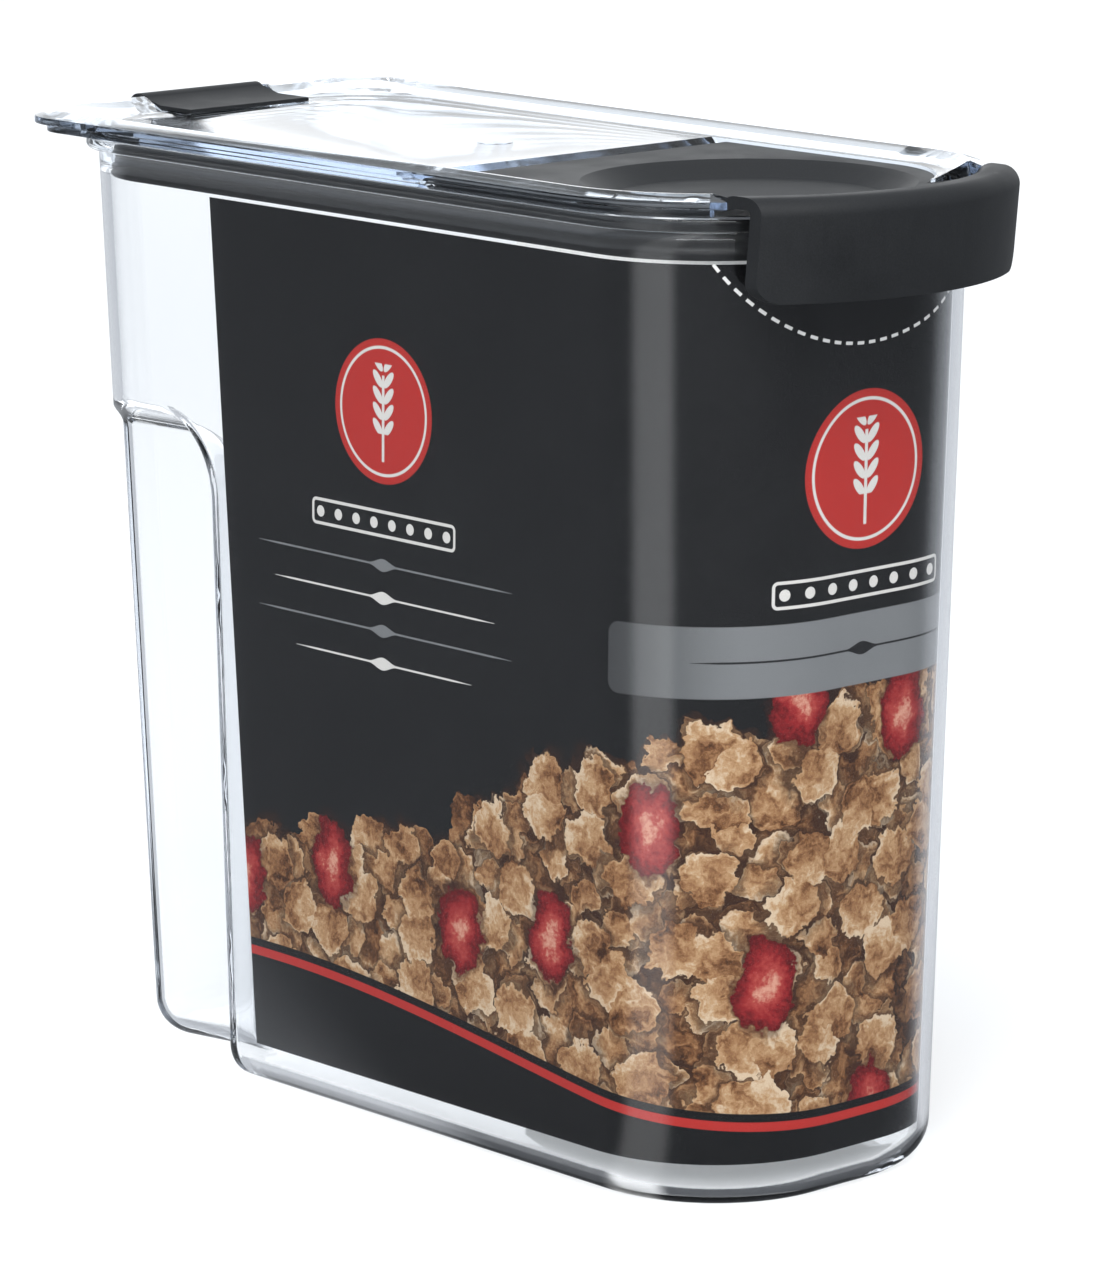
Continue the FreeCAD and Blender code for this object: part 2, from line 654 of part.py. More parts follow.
def make_door():
    inset = skirt_inside + d.door_gap
    half = tub_outline(seal_low, inset).half
    sheet_plan = plan("door_plan", door_top - d.door_plate, tub_outline(seal_low, inset))
    plate_room = block("door_room", (d.hinge_x, far_out), (-far_out, far_out), (seal_low, above_all))
    plate = common("door_plate_raw", extrude("door_sheet", sheet_plan, d.door_plate), plate_room)
    bowl = frustum("dish_bowl", d.dish_x, dish_top, d.dish_floor_radius, door_top, d.dish_rim_radius)
    barrel = crosswise("door_barrel", d.barrel_radius, d.hinge_x, hinge_z, -half, half)

    def from_axis(points, axis):
        return [(axis + point[0], *point[1:]) for point in points]

    plug_low = dish_low - d.plug_depth
    plug_in = d.plug_radius - d.plug_wall
    shell_edge = d.dish_rim_radius - d.dish_gap
    dish = revolve("dish", profile("dish_side", from_axis([
        (zero, dish_top), (zero, dish_low), (plug_in, dish_low), (plug_in, plug_low),
        (d.plug_radius, plug_low), (d.plug_radius, dish_low), (d.dish_floor_radius, dish_low),
        (shell_edge, door_top - d.door_plate), (shell_edge, door_over_rim), (d.dish_rim_radius, door_top),
        (d.dish_floor_radius, dish_top)], d.dish_x), "side"), d.dish_x)

    # the lip: level with the door, swept up to a crest, over a round shoulder and down in front
    crest_in = d.lip_radius - d.lip_shoulder - d.lip_ridge_width
    foot = crest_in - d.lip_sweep
    middle = (foot + crest_in) / 2
    rise = lip_crest - door_top
    halfway = door_top + rise / 2
    sweep = (d.lip_sweep * d.lip_sweep + rise * rise) / (rise * 4)
    shoulder = lip_crest - d.lip_shoulder
    bottom_out = d.lip_radius - d.lip_lean
    bottom_in = bottom_out - d.lip_wall
    inner = d.lip_radius - d.lip_wall
    inner_top = lip_crest - d.lip_wall
    lip_in = shell_edge + d.lip_axis_back - d.lip_lap
    lip_side = profile("lip_side", from_axis([
        (lip_in, door_over_rim), (foot, door_over_rim), (crest_in, inner_top),
        (inner - d.lip_inner_round, inner_top), (inner, inner_top - d.lip_inner_round, d.lip_inner_round),
        (bottom_in, d.lip_bottom), (bottom_out, d.lip_bottom), (d.lip_radius, shoulder),
        (d.lip_radius - d.lip_shoulder, lip_crest, -d.lip_shoulder), (crest_in, lip_crest),
        (middle, halfway, -sweep), (foot, door_top, sweep), (lip_in, door_top)], d.lip_x), "side")
    corner_y = d.lip_half_width - d.lip_corner
    corner_z = d.lip_bottom + d.lip_corner
    front_view = profile("lip_ends", [
        (-d.lip_half_width, above_all), (-d.lip_half_width, corner_z),
        (-corner_y, d.lip_bottom, -d.lip_corner), (corner_y, d.lip_bottom),
        (d.lip_half_width, corner_z, -d.lip_corner), (d.lip_half_width, above_all)], "end")
    lip_reach = extrude("lip_reach", front_view, far_out * 2, Vector(1, 0, 0))
    lip_front = block("lip_front", (d.lip_start, far_out * 2), (-far_out, far_out), (zero, above_all))
    lip_band = common("lip_band", revolve("lip_ring", lip_side, d.lip_x), lip_reach)
    lip_bowl = frustum("lip_bowl", d.dish_x, dish_top, d.dish_floor_radius, door_top, d.dish_rim_radius)
    lip = cut("lip", common("lip_whole", lip_band, lip_front), lip_bowl)

    # a tab behind the lip that snaps under the tub's collar
    collar_front = d.tub_front + d.collar_lip
    tab_in = collar_front + d.tab_gap
    tab_out = tab_in + d.tab_thickness
    hook_top = collar_low - d.hook_gap
    hook_low = hook_top - d.hook_height
    tab_side = profile("tab_side", [
        (tab_in, door_over_rim + d.overlap), (tab_in, hook_top), (collar_front - d.hook_bite, hook_top),
        (collar_front - d.hook_bite, hook_top - d.hook_nose), (tab_in + d.hook_nose, hook_low),
        (tab_out, hook_low), (tab_out, door_over_rim + d.overlap)], "side")
    tab = extrude("tab", tab_side, d.tab_half_width, Vector(0, 1, 0), True)

    solid = fuse("door_solid", cut("door_plate_open", plate, bowl), barrel, dish, lip, tab)
    pin_holes = [crosswise(f"pin_hole_{side}", d.pin_radius, d.hinge_x, hinge_z, *ends)
                 for side, ends in (("near", (-half - d.overlap, -half + d.pin_depth)),
                                    ("far", (half - d.pin_depth, half + d.overlap)))]
    return cut("pour_door", solid, *pin_holes, plug_ring("plug_groove"))


def make_pins():
    # each pin sits in the end of the door's barrel and turns in the lid's skirt
    half = tub_outline(seal_low, skirt_inside + d.door_gap).half
    end = well.half + d.skirt_thickness - d.pin_gap
    near = crosswise("door_pin_near", d.pin_radius, d.hinge_x, hinge_z, -end, -half + d.pin_depth)
    far = crosswise("door_pin_far", d.pin_radius, d.hinge_x, hinge_z, half - d.pin_depth, end)
    return [near, far]


def make_latch():
    # side view: flap, hood over the rod, skirt and hook, then back round the barrel
    x = -d.latch_x
    z = lid_low + d.latch_rise
    flap_low = panel_top + d.flap_gap
    flap_high = flap_low + d.flap_thickness
    outer = x - d.latch_radius
    inner = outer + d.latch_skirt
    hook_top = collar_low - d.hook_gap
    hook_low = hook_top - d.hook_height
    collar_rear = -d.tub_rear - d.collar_lip
    lean = inner - x
    barrel_drop = chord(d.latch_barrel, lean)
    flap_run = chord(d.latch_barrel, flap_low - z)
    hood_z = z + chord(d.latch_radius, d.hood_meet)
    outline = profile("latch_side", [
        (x + d.flap_reach, flap_high), (x + d.flap_crease, flap_high), (x + d.hood_meet, hood_z),
        (outer, z, -d.latch_radius), (outer, hook_low + d.hook_nose),
        (outer + d.hook_nose, hook_low, -d.hook_nose), (collar_rear - d.hook_nose, hook_low),
        (collar_rear + d.hook_bite, hook_top - d.hook_nose),
        (collar_rear + d.hook_bite, hook_top), (inner, hook_top), (inner, z - barrel_drop),
        (x + flap_run, flap_low, -d.latch_barrel), (x + d.flap_reach, flap_low)], "side")
    bar = extrude("latch_bar", outline, d.latch_half_width, Vector(0, 1, 0), True)
    hole_end = d.latch_half_width + d.overlap
    hole = crosswise("latch_hole", d.rod_radius + d.rod_play, x, z, -hole_end, hole_end)
    return cut("rear_latch", bar, hole)


nodes = [make_tub(), make_card(), make_lid(), make_seal(), make_door(), plug_ring("pour_seal"), *make_pins(),
         make_latch()]
doc.recompute()

for thing in doc.Objects:
    if "Invalid" in thing.State or "Error" in thing.State:
        raise RuntimeError(f"{thing.Name} failed: {thing.State}")
for node in nodes:
    if node.Shape.isNull() or not node.Shape.isValid():
        raise RuntimeError(f"{node.Label} has no valid shape")

os.makedirs("parts", exist_ok=True)
for node in nodes:
    box = node.Shape.optimalBoundingBox()
    spans = [(box.XMin, box.XMax), (box.YMin, box.YMax), (box.ZMin, box.ZMax)]
    reach = ", ".join(f"{axis} {low:.1f} to {high:.1f}" for axis, (low, high) in zip("XYZ", spans))
    print(f"{node.Label}: {len(node.Shape.Solids)} solid, {node.Shape.Volume / 1000:.1f} cm3, {reach}")
    node.Shape.exportStep(f"parts/{node.Label}.step")
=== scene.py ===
import math

import bmesh
import bpy
import numpy as np
from mathutils import Matrix, Vector


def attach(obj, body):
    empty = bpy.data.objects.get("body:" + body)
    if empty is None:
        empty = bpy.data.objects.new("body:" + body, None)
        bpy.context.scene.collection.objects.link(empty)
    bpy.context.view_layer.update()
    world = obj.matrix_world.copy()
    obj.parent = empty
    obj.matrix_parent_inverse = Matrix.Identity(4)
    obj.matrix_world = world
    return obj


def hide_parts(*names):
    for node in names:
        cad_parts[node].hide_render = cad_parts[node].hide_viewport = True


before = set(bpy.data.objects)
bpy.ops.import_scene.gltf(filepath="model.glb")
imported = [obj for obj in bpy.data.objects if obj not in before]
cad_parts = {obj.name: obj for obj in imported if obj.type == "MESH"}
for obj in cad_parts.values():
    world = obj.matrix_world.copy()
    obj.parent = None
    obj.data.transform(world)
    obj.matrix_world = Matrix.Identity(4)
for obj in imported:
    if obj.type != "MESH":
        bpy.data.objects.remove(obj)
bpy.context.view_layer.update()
mm = 0.001  # metres
cm = 10.0  # millimetres
mergeReach = {"grid": 1e-6, "solid": 2e-6}  # metres between points that become one
print("frame loaded:", sorted(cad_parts))


# Small helpers for meshes

def smoothStep(t):
    # 0 below 0, 1 above 1, an S-curve between
    t = np.clip(t, 0.0, 1.0)
    return t * t * (3.0 - 2.0 * t)


def softMin(a, b, width):
    # the lesser of two fields, with the corner between them rounded over the width
    h = np.clip(0.5 + 0.5 * (b - a) / width, 0.0, 1.0)
    return b * (1.0 - h) + a * h - width * h * (1.0 - h)


def quarterTurn(steps):
    return np.linspace(0.0, np.pi / 2, steps)


def gridPiece(name, points, body, material, capped=True):
    # a surface from a grid of points in millimetres: rows along the profile, columns round the path;
    # the columns close into a ring, and the first and last rows close into a pole when capped
    rows, cols = points.shape[:2]
    index = np.arange(rows * cols).reshape(rows, cols)
    nextCol = np.roll(index, -1, axis=1)
    quads = np.stack([index[:-1], nextCol[:-1], nextCol[1:], index[1:]], axis=-1).reshape(-1, 4)
    faces = quads.tolist()
    if capped:
        faces += [index[0, ::-1].tolist(), index[-1].tolist()]
    mesh = bpy.data.meshes.new(name)
    mesh.from_pydata((points.reshape(-1, 3) * mm).tolist(), [], faces)
    work = bmesh.new()
    work.from_mesh(mesh)
    bmesh.ops.remove_doubles(work, verts=work.verts, dist=mergeReach["grid"])
    bmesh.ops.recalc_face_normals(work, faces=work.faces)
    work.to_mesh(mesh)
    work.free()
    mesh.shade_smooth()
    return addPiece(name, mesh, body, material)


def addPiece(name, mesh, body, material):
    piece = bpy.data.objects.new(name, mesh)
    bpy.context.scene.collection.objects.link(piece)
    mesh.materials.clear()
    for entry in material if isinstance(material, list) else [material]:
        mesh.materials.append(entry)
    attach(piece, body)
    return piece


def faceAngles(mesh, spots):
    # the angle between the two faces at each edge, in degrees;
    # a face's normal is the sum of the cross products of its corners, taken in turn
    corners, edges = np.zeros((2, len(mesh.loops)), np.int32)
    mesh.loops.foreach_get("vertex_index", corners)
    mesh.loops.foreach_get("edge_index", edges)
    starts, sizes = np.zeros((2, len(mesh.polygons)), np.int32)
    mesh.polygons.foreach_get("loop_start", starts)
    mesh.polygons.foreach_get("loop_total", sizes)
    following = np.arange(len(corners)) + 1
    following[starts + sizes - 1] = starts
    normals = np.add.reduceat(np.cross(spots[corners], spots[corners[following]]), starts)
    normals /= np.linalg.norm(normals, axis=1, keepdims=True)
    faces = np.repeat(np.arange(len(starts)), sizes)
    a, b = normals[faces[np.argsort(edges, kind="stable")].reshape(-1, 2).T]
    return np.degrees(np.arccos(np.clip((a * b).sum(axis=1), -1.0, 1.0)))


def weighEdges(mesh, s):
    # how much of the bevel a sharp edge gets: all of it on the outline that fullRound finds, else a share
    spots = np.zeros(3 * len(mesh.vertices), np.float32)
    mesh.vertices.foreach_get("co", spots)
    spots = spots.reshape(-1, 3) / mm
    ends = np.zeros(2 * len(mesh.edges), np.int32)
    mesh.edges.foreach_get("vertices", ends)
    sharp = faceAngles(mesh, spots.astype(float)) > s["sharpAngle"]
    weights = np.where(sharp, s["edgeShare"], 0.0)
    if "fullRound" in s:
        outer = s["fullRound"](spots)[ends.reshape(-1, 2)].all(axis=1)
        weights = np.where(sharp & outer, 1.0, weights)
    layer = mesh.attributes.new("bevel_weight_edge", "FLOAT", "EDGE")
    layer.data.foreach_set("value", weights.astype(np.float32))


def softenedCopy(name, node, body, material, s):
    # a merged copy of a node's mesh: flat runs joined into single faces, edges rounded by a bevel
    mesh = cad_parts[node].data.copy()
    mesh.name = name
    work = bmesh.new()
    work.from_mesh(mesh)
    bmesh.ops.remove_doubles(work, verts=work.verts, dist=mergeReach["solid"])
    bmesh.ops.dissolve_limit(work, angle_limit=math.radians(s["flatAngle"]),
                             verts=work.verts, edges=work.edges)
    work.to_mesh(mesh)
    work.free()
    mesh.shade_smooth()
    mesh.set_sharp_from_angle(angle=math.radians(s["sharpAngle"]))
    weighEdges(mesh, s)
    piece = addPiece(name, mesh, body, material)
    bevel = piece.modifiers.new("edgeRound", "BEVEL")
    bevel.width = s["edgeRound"] * mm
    bevel.segments = s["edgeSteps"]
    bevel.limit_method = "WEIGHT"
    bevel.harden_normals = True
    bevel.use_clamp_overlap = True
    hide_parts(node)
    return piece


def letLightThrough(piece):
    # light reaches what stands behind the clear walls, and no hard shadow falls from them
    piece.visible_shadow = False
    piece.visible_diffuse = False


# Small helpers for materials

def startMaterial(name):
    material = bpy.data.materials.new(name)
    material.use_nodes = True
    tree = material.node_tree
    return material, tree, tree.nodes["Principled BSDF"]


def put(tree, value, socket):
    if isinstance(value, bpy.types.NodeSocket):
        tree.links.new(value, socket)
    elif value is not None:
        socket.default_value = value


def math2(tree, operation, a, b=None, c=None):
    node = tree.nodes.new("ShaderNodeMath")
    node.operation = operation
    for value, socket in zip((a, b, c), node.inputs):
        put(tree, value, socket)
    return node.outputs[0]


def product(tree, first, *others):
    for other in others:
        first = math2(tree, "MULTIPLY", first, other)
    return first


def vector2(tree, operation, a, b=None, scale=None):
    node = tree.nodes.new("ShaderNodeVectorMath")
    node.operation = operation
    put(tree, a, node.inputs[0])
    put(tree, b, node.inputs[1])
    if scale is not None:
        put(tree, scale, node.inputs["Scale"])
    return node.outputs["Value" if operation in ("LENGTH", "DOT_PRODUCT") else "Vector"]


def parts(tree, vector):
    # a vector's x, y and z
    node = tree.nodes.new("ShaderNodeSeparateXYZ")
    put(tree, vector, node.inputs[0])
    return node.outputs


def chances(tree, colour):
    # a cell's three random numbers
    node = tree.nodes.new("ShaderNodeSeparateColor")
    put(tree, colour, node.inputs[0])
    return node.outputs


def fade(tree, value, low, high, outLow=0.0, outHigh=1.0):
    # a clamped smooth ramp of a value between two limits
    node = tree.nodes.new("ShaderNodeMapRange")
    node.interpolation_type = "SMOOTHSTEP"
    for entry, socket in zip((value, low, high, outLow, outHigh), node.inputs):
        put(tree, entry, socket)
    return node.outputs[0]


def between(tree, value, low, high, soft):
    # 1 between two limits, falling softly to 0 at them
    return product(tree, fade(tree, value, low, low + soft), fade(tree, value, high, high - soft))


def blendColour(tree, share, a, b, way="MIX"):
    node = tree.nodes.new("ShaderNodeMix")
    node.data_type = "RGBA"
    node.blend_type = way
    put(tree, share, node.inputs["Factor"])
    put(tree, a, node.inputs["A"])
    put(tree, b, node.inputs["B"])
    return node.outputs["Result"]


def noise(tree, place, scale, detail=2.0, rough=0.5, flat=False):
    node = tree.nodes.new("ShaderNodeTexNoise")
    node.noise_dimensions = "2D" if flat else "3D"
    put(tree, place, node.inputs["Vector"])
    node.inputs["Scale"].default_value = scale
    node.inputs["Detail"].default_value = detail
    node.inputs["Roughness"].default_value = rough
    return node


def cells(tree, place, scale, randomness=1.0):
    node = tree.nodes.new("ShaderNodeTexVoronoi")
    node.voronoi_dimensions = "2D"
    put(tree, place, node.inputs["Vector"])
    node.inputs["Scale"].default_value = scale
    node.inputs["Randomness"].default_value = randomness
    return node


def ramp(tree, value, stops):
    node = tree.nodes.new("ShaderNodeValToRGB")
    bar = node.color_ramp
    while len(bar.elements) < len(stops):
        bar.elements.new(0.5)
    for element, (place, colour) in zip(bar.elements, stops):
        element.position = place
        element.color = (*colour, 1.0)
    put(tree, value, node.inputs[0])
    return node.outputs["Color"]


def bumpFrom(tree, height, strength, distance):
    node = tree.nodes.new("ShaderNodeBump")
    node.inputs["Strength"].default_value = strength
    node.inputs["Distance"].default_value = distance
    put(tree, height, node.inputs["Height"])
    return node.outputs["Normal"]


def objectPlace(tree):
    return tree.nodes.new("ShaderNodeTexCoord").outputs["Object"]


# In each look: a noise is its scale, detail and roughness, a span is where a ramp starts and ends,
# and a bump is its strength and its depth in metres

# Clear plastic: see-through, faintly blue in its depth, with the slight waviness and scuffs of a moulding
clearLook = {"ior": 1.42, "tint": (0.985, 0.992, 1.0, 1.0),
             "depthColour": (0.4, 0.56, 0.8, 1.0), "depthDensity": 4.0,
             "scuffNoise": (90.0, 5.0, 0.65), "scuffSpan": (0.5, 0.75), "polish": 0.012, "scuff": 0.05,
             "waveNoise": (16.0, 1.0, 0.4), "waveBump": (0.2, 0.00003)}


def clearPlastic(name, look):
    material, tree, shader = startMaterial(name)
    place = objectPlace(tree)
    scuffs = noise(tree, place, *look["scuffNoise"]).outputs[0]
    roughness = fade(tree, scuffs, *look["scuffSpan"], look["polish"], look["scuff"])
    put(tree, roughness, shader.inputs["Roughness"])
    shader.inputs["Base Color"].default_value = look["tint"]
    shader.inputs["IOR"].default_value = look["ior"]
    shader.inputs["Transmission Weight"].default_value = 1.0
    waves = noise(tree, place, *look["waveNoise"]).outputs[0]
    put(tree, bumpFrom(tree, waves, *look["waveBump"]), shader.inputs["Normal"])
    depth = tree.nodes.new("ShaderNodeVolumeAbsorption")
    depth.inputs["Color"].default_value = look["depthColour"]
    depth.inputs["Density"].default_value = look["depthDensity"]
    tree.links.new(depth.outputs[0], tree.nodes["Material Output"].inputs["Volume"])
    return material


# Charcoal moulded plastic: satin, with a fine spark-eroded grain and slightly uneven gloss
charcoalLook = {"dark": (0.0075, 0.0083, 0.0095), "light": (0.015, 0.0163, 0.0185), "span": (0.3, 0.7),
                "grainNoise": (2600.0, 2.0, 0.6), "grainShare": 0.5, "grainBump": (0.5, 0.00005),
                "patchNoise": (38.0, 3.0, 0.55), "patchShare": 0.5,
                "gloss": 0.52, "dull": 0.64, "specular": 0.24}


def charcoalPlastic(name, look):
    material, tree, shader = startMaterial(name)
    place = objectPlace(tree)
    grain = noise(tree, place, *look["grainNoise"]).outputs[0]
    patches = noise(tree, place, *look["patchNoise"]).outputs[0]
    tone = math2(tree, "MULTIPLY_ADD", grain, look["grainShare"], product(tree, patches, look["patchShare"]))
    put(tree, twoTone(tree, tone, look), shader.inputs["Base Color"])
    put(tree, fade(tree, patches, *look["span"], look["gloss"], look["dull"]), shader.inputs["Roughness"])
    put(tree, bumpFrom(tree, grain, *look["grainBump"]), shader.inputs["Normal"])
    shader.inputs["Specular IOR Level"].default_value = look["specular"]
    return material


def twoTone(tree, value, look):
    # from a look's dark tone to its light one, over its span
    low, high = look["span"]
    return ramp(tree, value, [(low, look["dark"]), (high, look["light"])])


# Soft black seal: smooth silicone with a dusty bloom
sealLook = {"dark": (0.005, 0.0055, 0.006), "light": (0.012, 0.013, 0.0145), "span": (0.35, 0.7),
            "noise": (300.0, 4.0, 0.6), "glossSpan": (0.3, 0.7), "gloss": 0.45, "dull": 0.62,
            "bump": (0.2, 0.00004), "specular": 0.28}

# White pin plastic: natural acetal with faint turning marks
pinLook = {"dark": (0.7, 0.7, 0.68), "light": (0.86, 0.86, 0.84), "span": (0.3, 0.7),
           "noise": (900.0, 3.0, 0.6), "glossSpan": (0.3, 0.7), "gloss": 0.3, "dull": 0.45}

# Card board: the unprinted back and the cut edges
boardLook = {"dark": (0.76, 0.755, 0.74), "light": (0.88, 0.875, 0.86), "span": (0.3, 0.7),
             "noise": (700.0, 4.0, 0.65), "rough": 0.75, "bump": (0.3, 0.00005)}


def grainedSolid(name, look):
    # one noise for the tone and, where the look gives them, for the gloss and the bump
    material, tree, shader = startMaterial(name)
    grain = noise(tree, objectPlace(tree), *look["noise"]).outputs[0]
    put(tree, twoTone(tree, grain, look), shader.inputs["Base Color"])
    if "glossSpan" in look:
        gloss = fade(tree, grain, *look["glossSpan"], look["gloss"], look["dull"])
        put(tree, gloss, shader.inputs["Roughness"])
    else:
        shader.inputs["Roughness"].default_value = look["rough"]
    if "bump" in look:
        put(tree, bumpFrom(tree, grain, *look["bump"]), shader.inputs["Normal"])
    if "specular" in look:
        shader.inputs["Specular IOR Level"].default_value = look["specular"]
    return material


# Tub outline, in millimetres: walls lean in towards the floor, corners keep their radii
tubSizes = {"half": 52.2, "front": 113.9, "rear": 122.1, "height": 231.0,
            "frontRadius": 38.5, "rearRadius": 30.0,
            "sideLean": 5.3, "frontLean": 5.1, "rearLean": 7.4, "wall": 2.5, "floor": 3.0, "baseRadius": 9.0,
            "collarLip": 2.9, "collarHeight": 3.0, "collarRound": 0.9, "rimRound": 0.5,
            "gripEdge": -62.0, "gripTop": 168.0, "gripArch": 22.0, "gripDepth": 16.0, "gripTail": 4.0,
            "gripSlope": 11.0, "gripRound": 5.0, "gripLeastRound": 0.01,
            "spineRear": -80.0, "spineFront": 70.0}
# how finely it is drawn: columns of a side, a corner and an end, then rows up the profile;
# the rows are closest from archFrom below the grips' tops to archTo above them
tubSteps = {"side": 150, "corner": 44, "end": 18, "floorShares": (0.05, 0.4, 0.8), "base": 11,
            "below": 22, "arch": 34, "above": 10, "archFrom": 26.0, "archTo": 2.0, "collar": 6, "rim": 5}


def outlineSpots(half, rear, front, rearRadius, frontRadius):
    # a rounded outline, anticlockwise from the near rear corner: straight runs and quarter circles
    side, corner, end = (tubSteps[k] for k in ("side", "corner", "end"))
    turn = np.linspace(0.0, np.pi / 2, corner, endpoint=False)
    run = np.linspace(0.0, 1.0, side, endpoint=False)
    short = np.linspace(0.0, 1.0, end, endpoint=False)
    x0, x1 = -rear + rearRadius, front - frontRadius
    y0, y1 = half - rearRadius, half - frontRadius
    runs = [
        (x0 + (x1 - x0) * run, np.full(side, -half)),
        (x1 + frontRadius * np.sin(turn), -y1 - frontRadius * np.cos(turn)),
        (np.full(end, front), -y1 + 2 * y1 * short),
        (x1 + frontRadius * np.cos(turn), y1 + frontRadius * np.sin(turn)),
        (x1 + (x0 - x1) * run, np.full(side, half)),
        (x0 - rearRadius * np.sin(turn), y0 + rearRadius * np.cos(turn)),
        (np.full(end, -rear), y0 - 2 * y0 * short),
        (x0 - rearRadius * np.cos(turn), -y0 - rearRadius * np.sin(turn)),
    ]
    return np.concatenate([np.stack(spots, axis=-1) for spots in runs])


def tubLevel(z, t, inset=0.0):
    # outline of the tub's outer wall at a height, with no grips
    share = (t["height"] - z) / t["height"]
    return outlineSpots(t["half"] - t["sideLean"] * share - inset, t["rear"] - t["rearLean"] * share - inset,
                        t["front"] - t["frontLean"] * share - inset,
                        t["rearRadius"] - inset, t["frontRadius"] - inset)


def sunkGrips(xy, z, t):
    # the sides pushed in at the rear: depth follows an S-curve of the distance inside an arched doorway
    x, y = xy[..., 0], xy[..., 1]
    half = t["half"] - t["sideLean"] * (t["height"] - z) / t["height"]
    across = t["gripEdge"] - t["gripArch"] - x
    above = z - (t["gripTop"] - t["gripArch"])
    corner = t["gripArch"] - np.hypot(np.maximum(-across, 0.0), np.maximum(above, 0.0))
    inside = np.where((across > 0) & (above > 0), t["gripTop"] - z, corner)
    inside = np.where((above <= 0), t["gripEdge"] - x, inside)
    sunkShare = smoothStep(inside / t["gripSlope"])
    depth = t["gripDepth"] * sunkShare
    # the grip's floor comes out again a little towards the rear
    flat = t["gripEdge"] - t["gripSlope"]
    tail = t["gripTail"] * smoothStep((flat - x) / (t["rear"] + flat))
    floorLine = half - depth + np.where(depth > 0, tail, 0.0) * depth / t["gripDepth"]
    blend = t["gripLeastRound"] + t["gripRound"] * sunkShare
    sunk = np.where(inside > 0, softMin(np.abs(y), floorLine, blend), np.abs(y))
    pulled = np.sign(y) * np.minimum(sunk, np.abs(y))
    return np.stack([x, pulled], axis=-1)


def inwards(ring):
    # unit vectors pointing into the outline, from the difference of each spot's neighbours
    along = np.roll(ring, -1, axis=-2) - np.roll(ring, 1, axis=-2)
    along = along / np.linalg.norm(along, axis=-1, keepdims=True)
    return np.stack([-along[..., 1], along[..., 0]], axis=-1)


def towardsSpine(ring, t):
    # unit vectors from each spot to the nearest point of the tub's middle line
    offset = ring.copy()
    offset[..., 0] -= np.clip(ring[..., 0], t["spineRear"], t["spineFront"])
    return -offset / np.linalg.norm(offset, axis=-1, keepdims=True)


def level3d(ring, z):
    return np.concatenate([ring, np.full(ring.shape[:-1] + (1,), z)], axis=-1)


def buildTub(t, n, material):
    # profile: out along the underside, round the base, up the wall, round the collar, down to the floor
    def wallRing(z, depth=0.0):
        ring = sunkGrips(tubLevel(z, t), z, t)
        return ring + inwards(ring) * depth if depth else ring

    def footRow(z, inset, depth=0.0):
        ring = wallRing(z, depth)
        return level3d(ring + towardsSpine(ring, t) * inset, z)

    base, height, wall = t["baseRadius"], t["height"], t["wall"]
    underside = footRow(0.0, base)
    rows = [underside * np.array([share, share, 1.0]) for share in n["floorShares"]]
    for a in quarterTurn(n["base"]):
        rows.append(footRow(base * (1 - np.cos(a)), base * (1 - np.sin(a))))
    collarLow = height - t["collarHeight"]
    archLow, archHigh = t["gripTop"] - n["archFrom"], t["gripTop"] + n["archTo"]
    heights = np.unique(np.concatenate([np.linspace(base, archLow, n["below"])[1:],
                                        np.linspace(archLow, archHigh, n["arch"]),
                                        np.linspace(archHigh, collarLow, n["above"])]))
    rows += [level3d(wallRing(z), z) for z in heights]
    rimAt = tubLevel(height, t)
    out = -inwards(rimAt)
    lip, r, e = t["collarLip"], t["collarRound"], t["rimRound"]
    for a in quarterTurn(n["collar"]):
        rows.append(level3d(rimAt + out * (lip - r + r * np.sin(a)), collarLow + r * (1 - np.cos(a))))
    for a in quarterTurn(n["rim"]):
        rows.append(level3d(rimAt + out * (lip - e + e * np.cos(a)), height - e + e * np.sin(a)))
    for a in quarterTurn(n["rim"]):
        rows.append(level3d(rimAt - out * (wall - e + e * np.sin(a)), height - e + e * np.cos(a)))
    rows += [level3d(wallRing(z, wall), z) for z in heights[::-1]]
    inner = base - wall
    for a in quarterTurn(n["base"])[::-1]:
        rows.append(footRow(t["floor"] + inner * (1 - np.cos(a)), inner * (1 - np.sin(a)), wall))
    floorEdge = rows[-1]
    rows += [floorEdge * np.array([share, share, 1.0]) for share in n["floorShares"][::-1]]
    piece = gridPiece("clearTub", np.stack(rows), "tub", material)
    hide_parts("tub")
    return piece


clearTubPlastic = clearPlastic("clearTubPlastic", clearLook)
clearTub = buildTub(tubSizes, tubSteps, clearTubPlastic)
letLightThrough(clearTub)
print("tub:", len(clearTub.data.polygons), "faces")


# Printed card: one sheet bent round the front, its rear edges leaning back
cardSizes = {"gap": 0.2, "thick": 0.5, "low": 11.0, "high": 220.4, "rearLow": 53.94, "rearHigh": 61.48,
             "rows": 40, "cols": 260, "sharpAngle": 40.0}

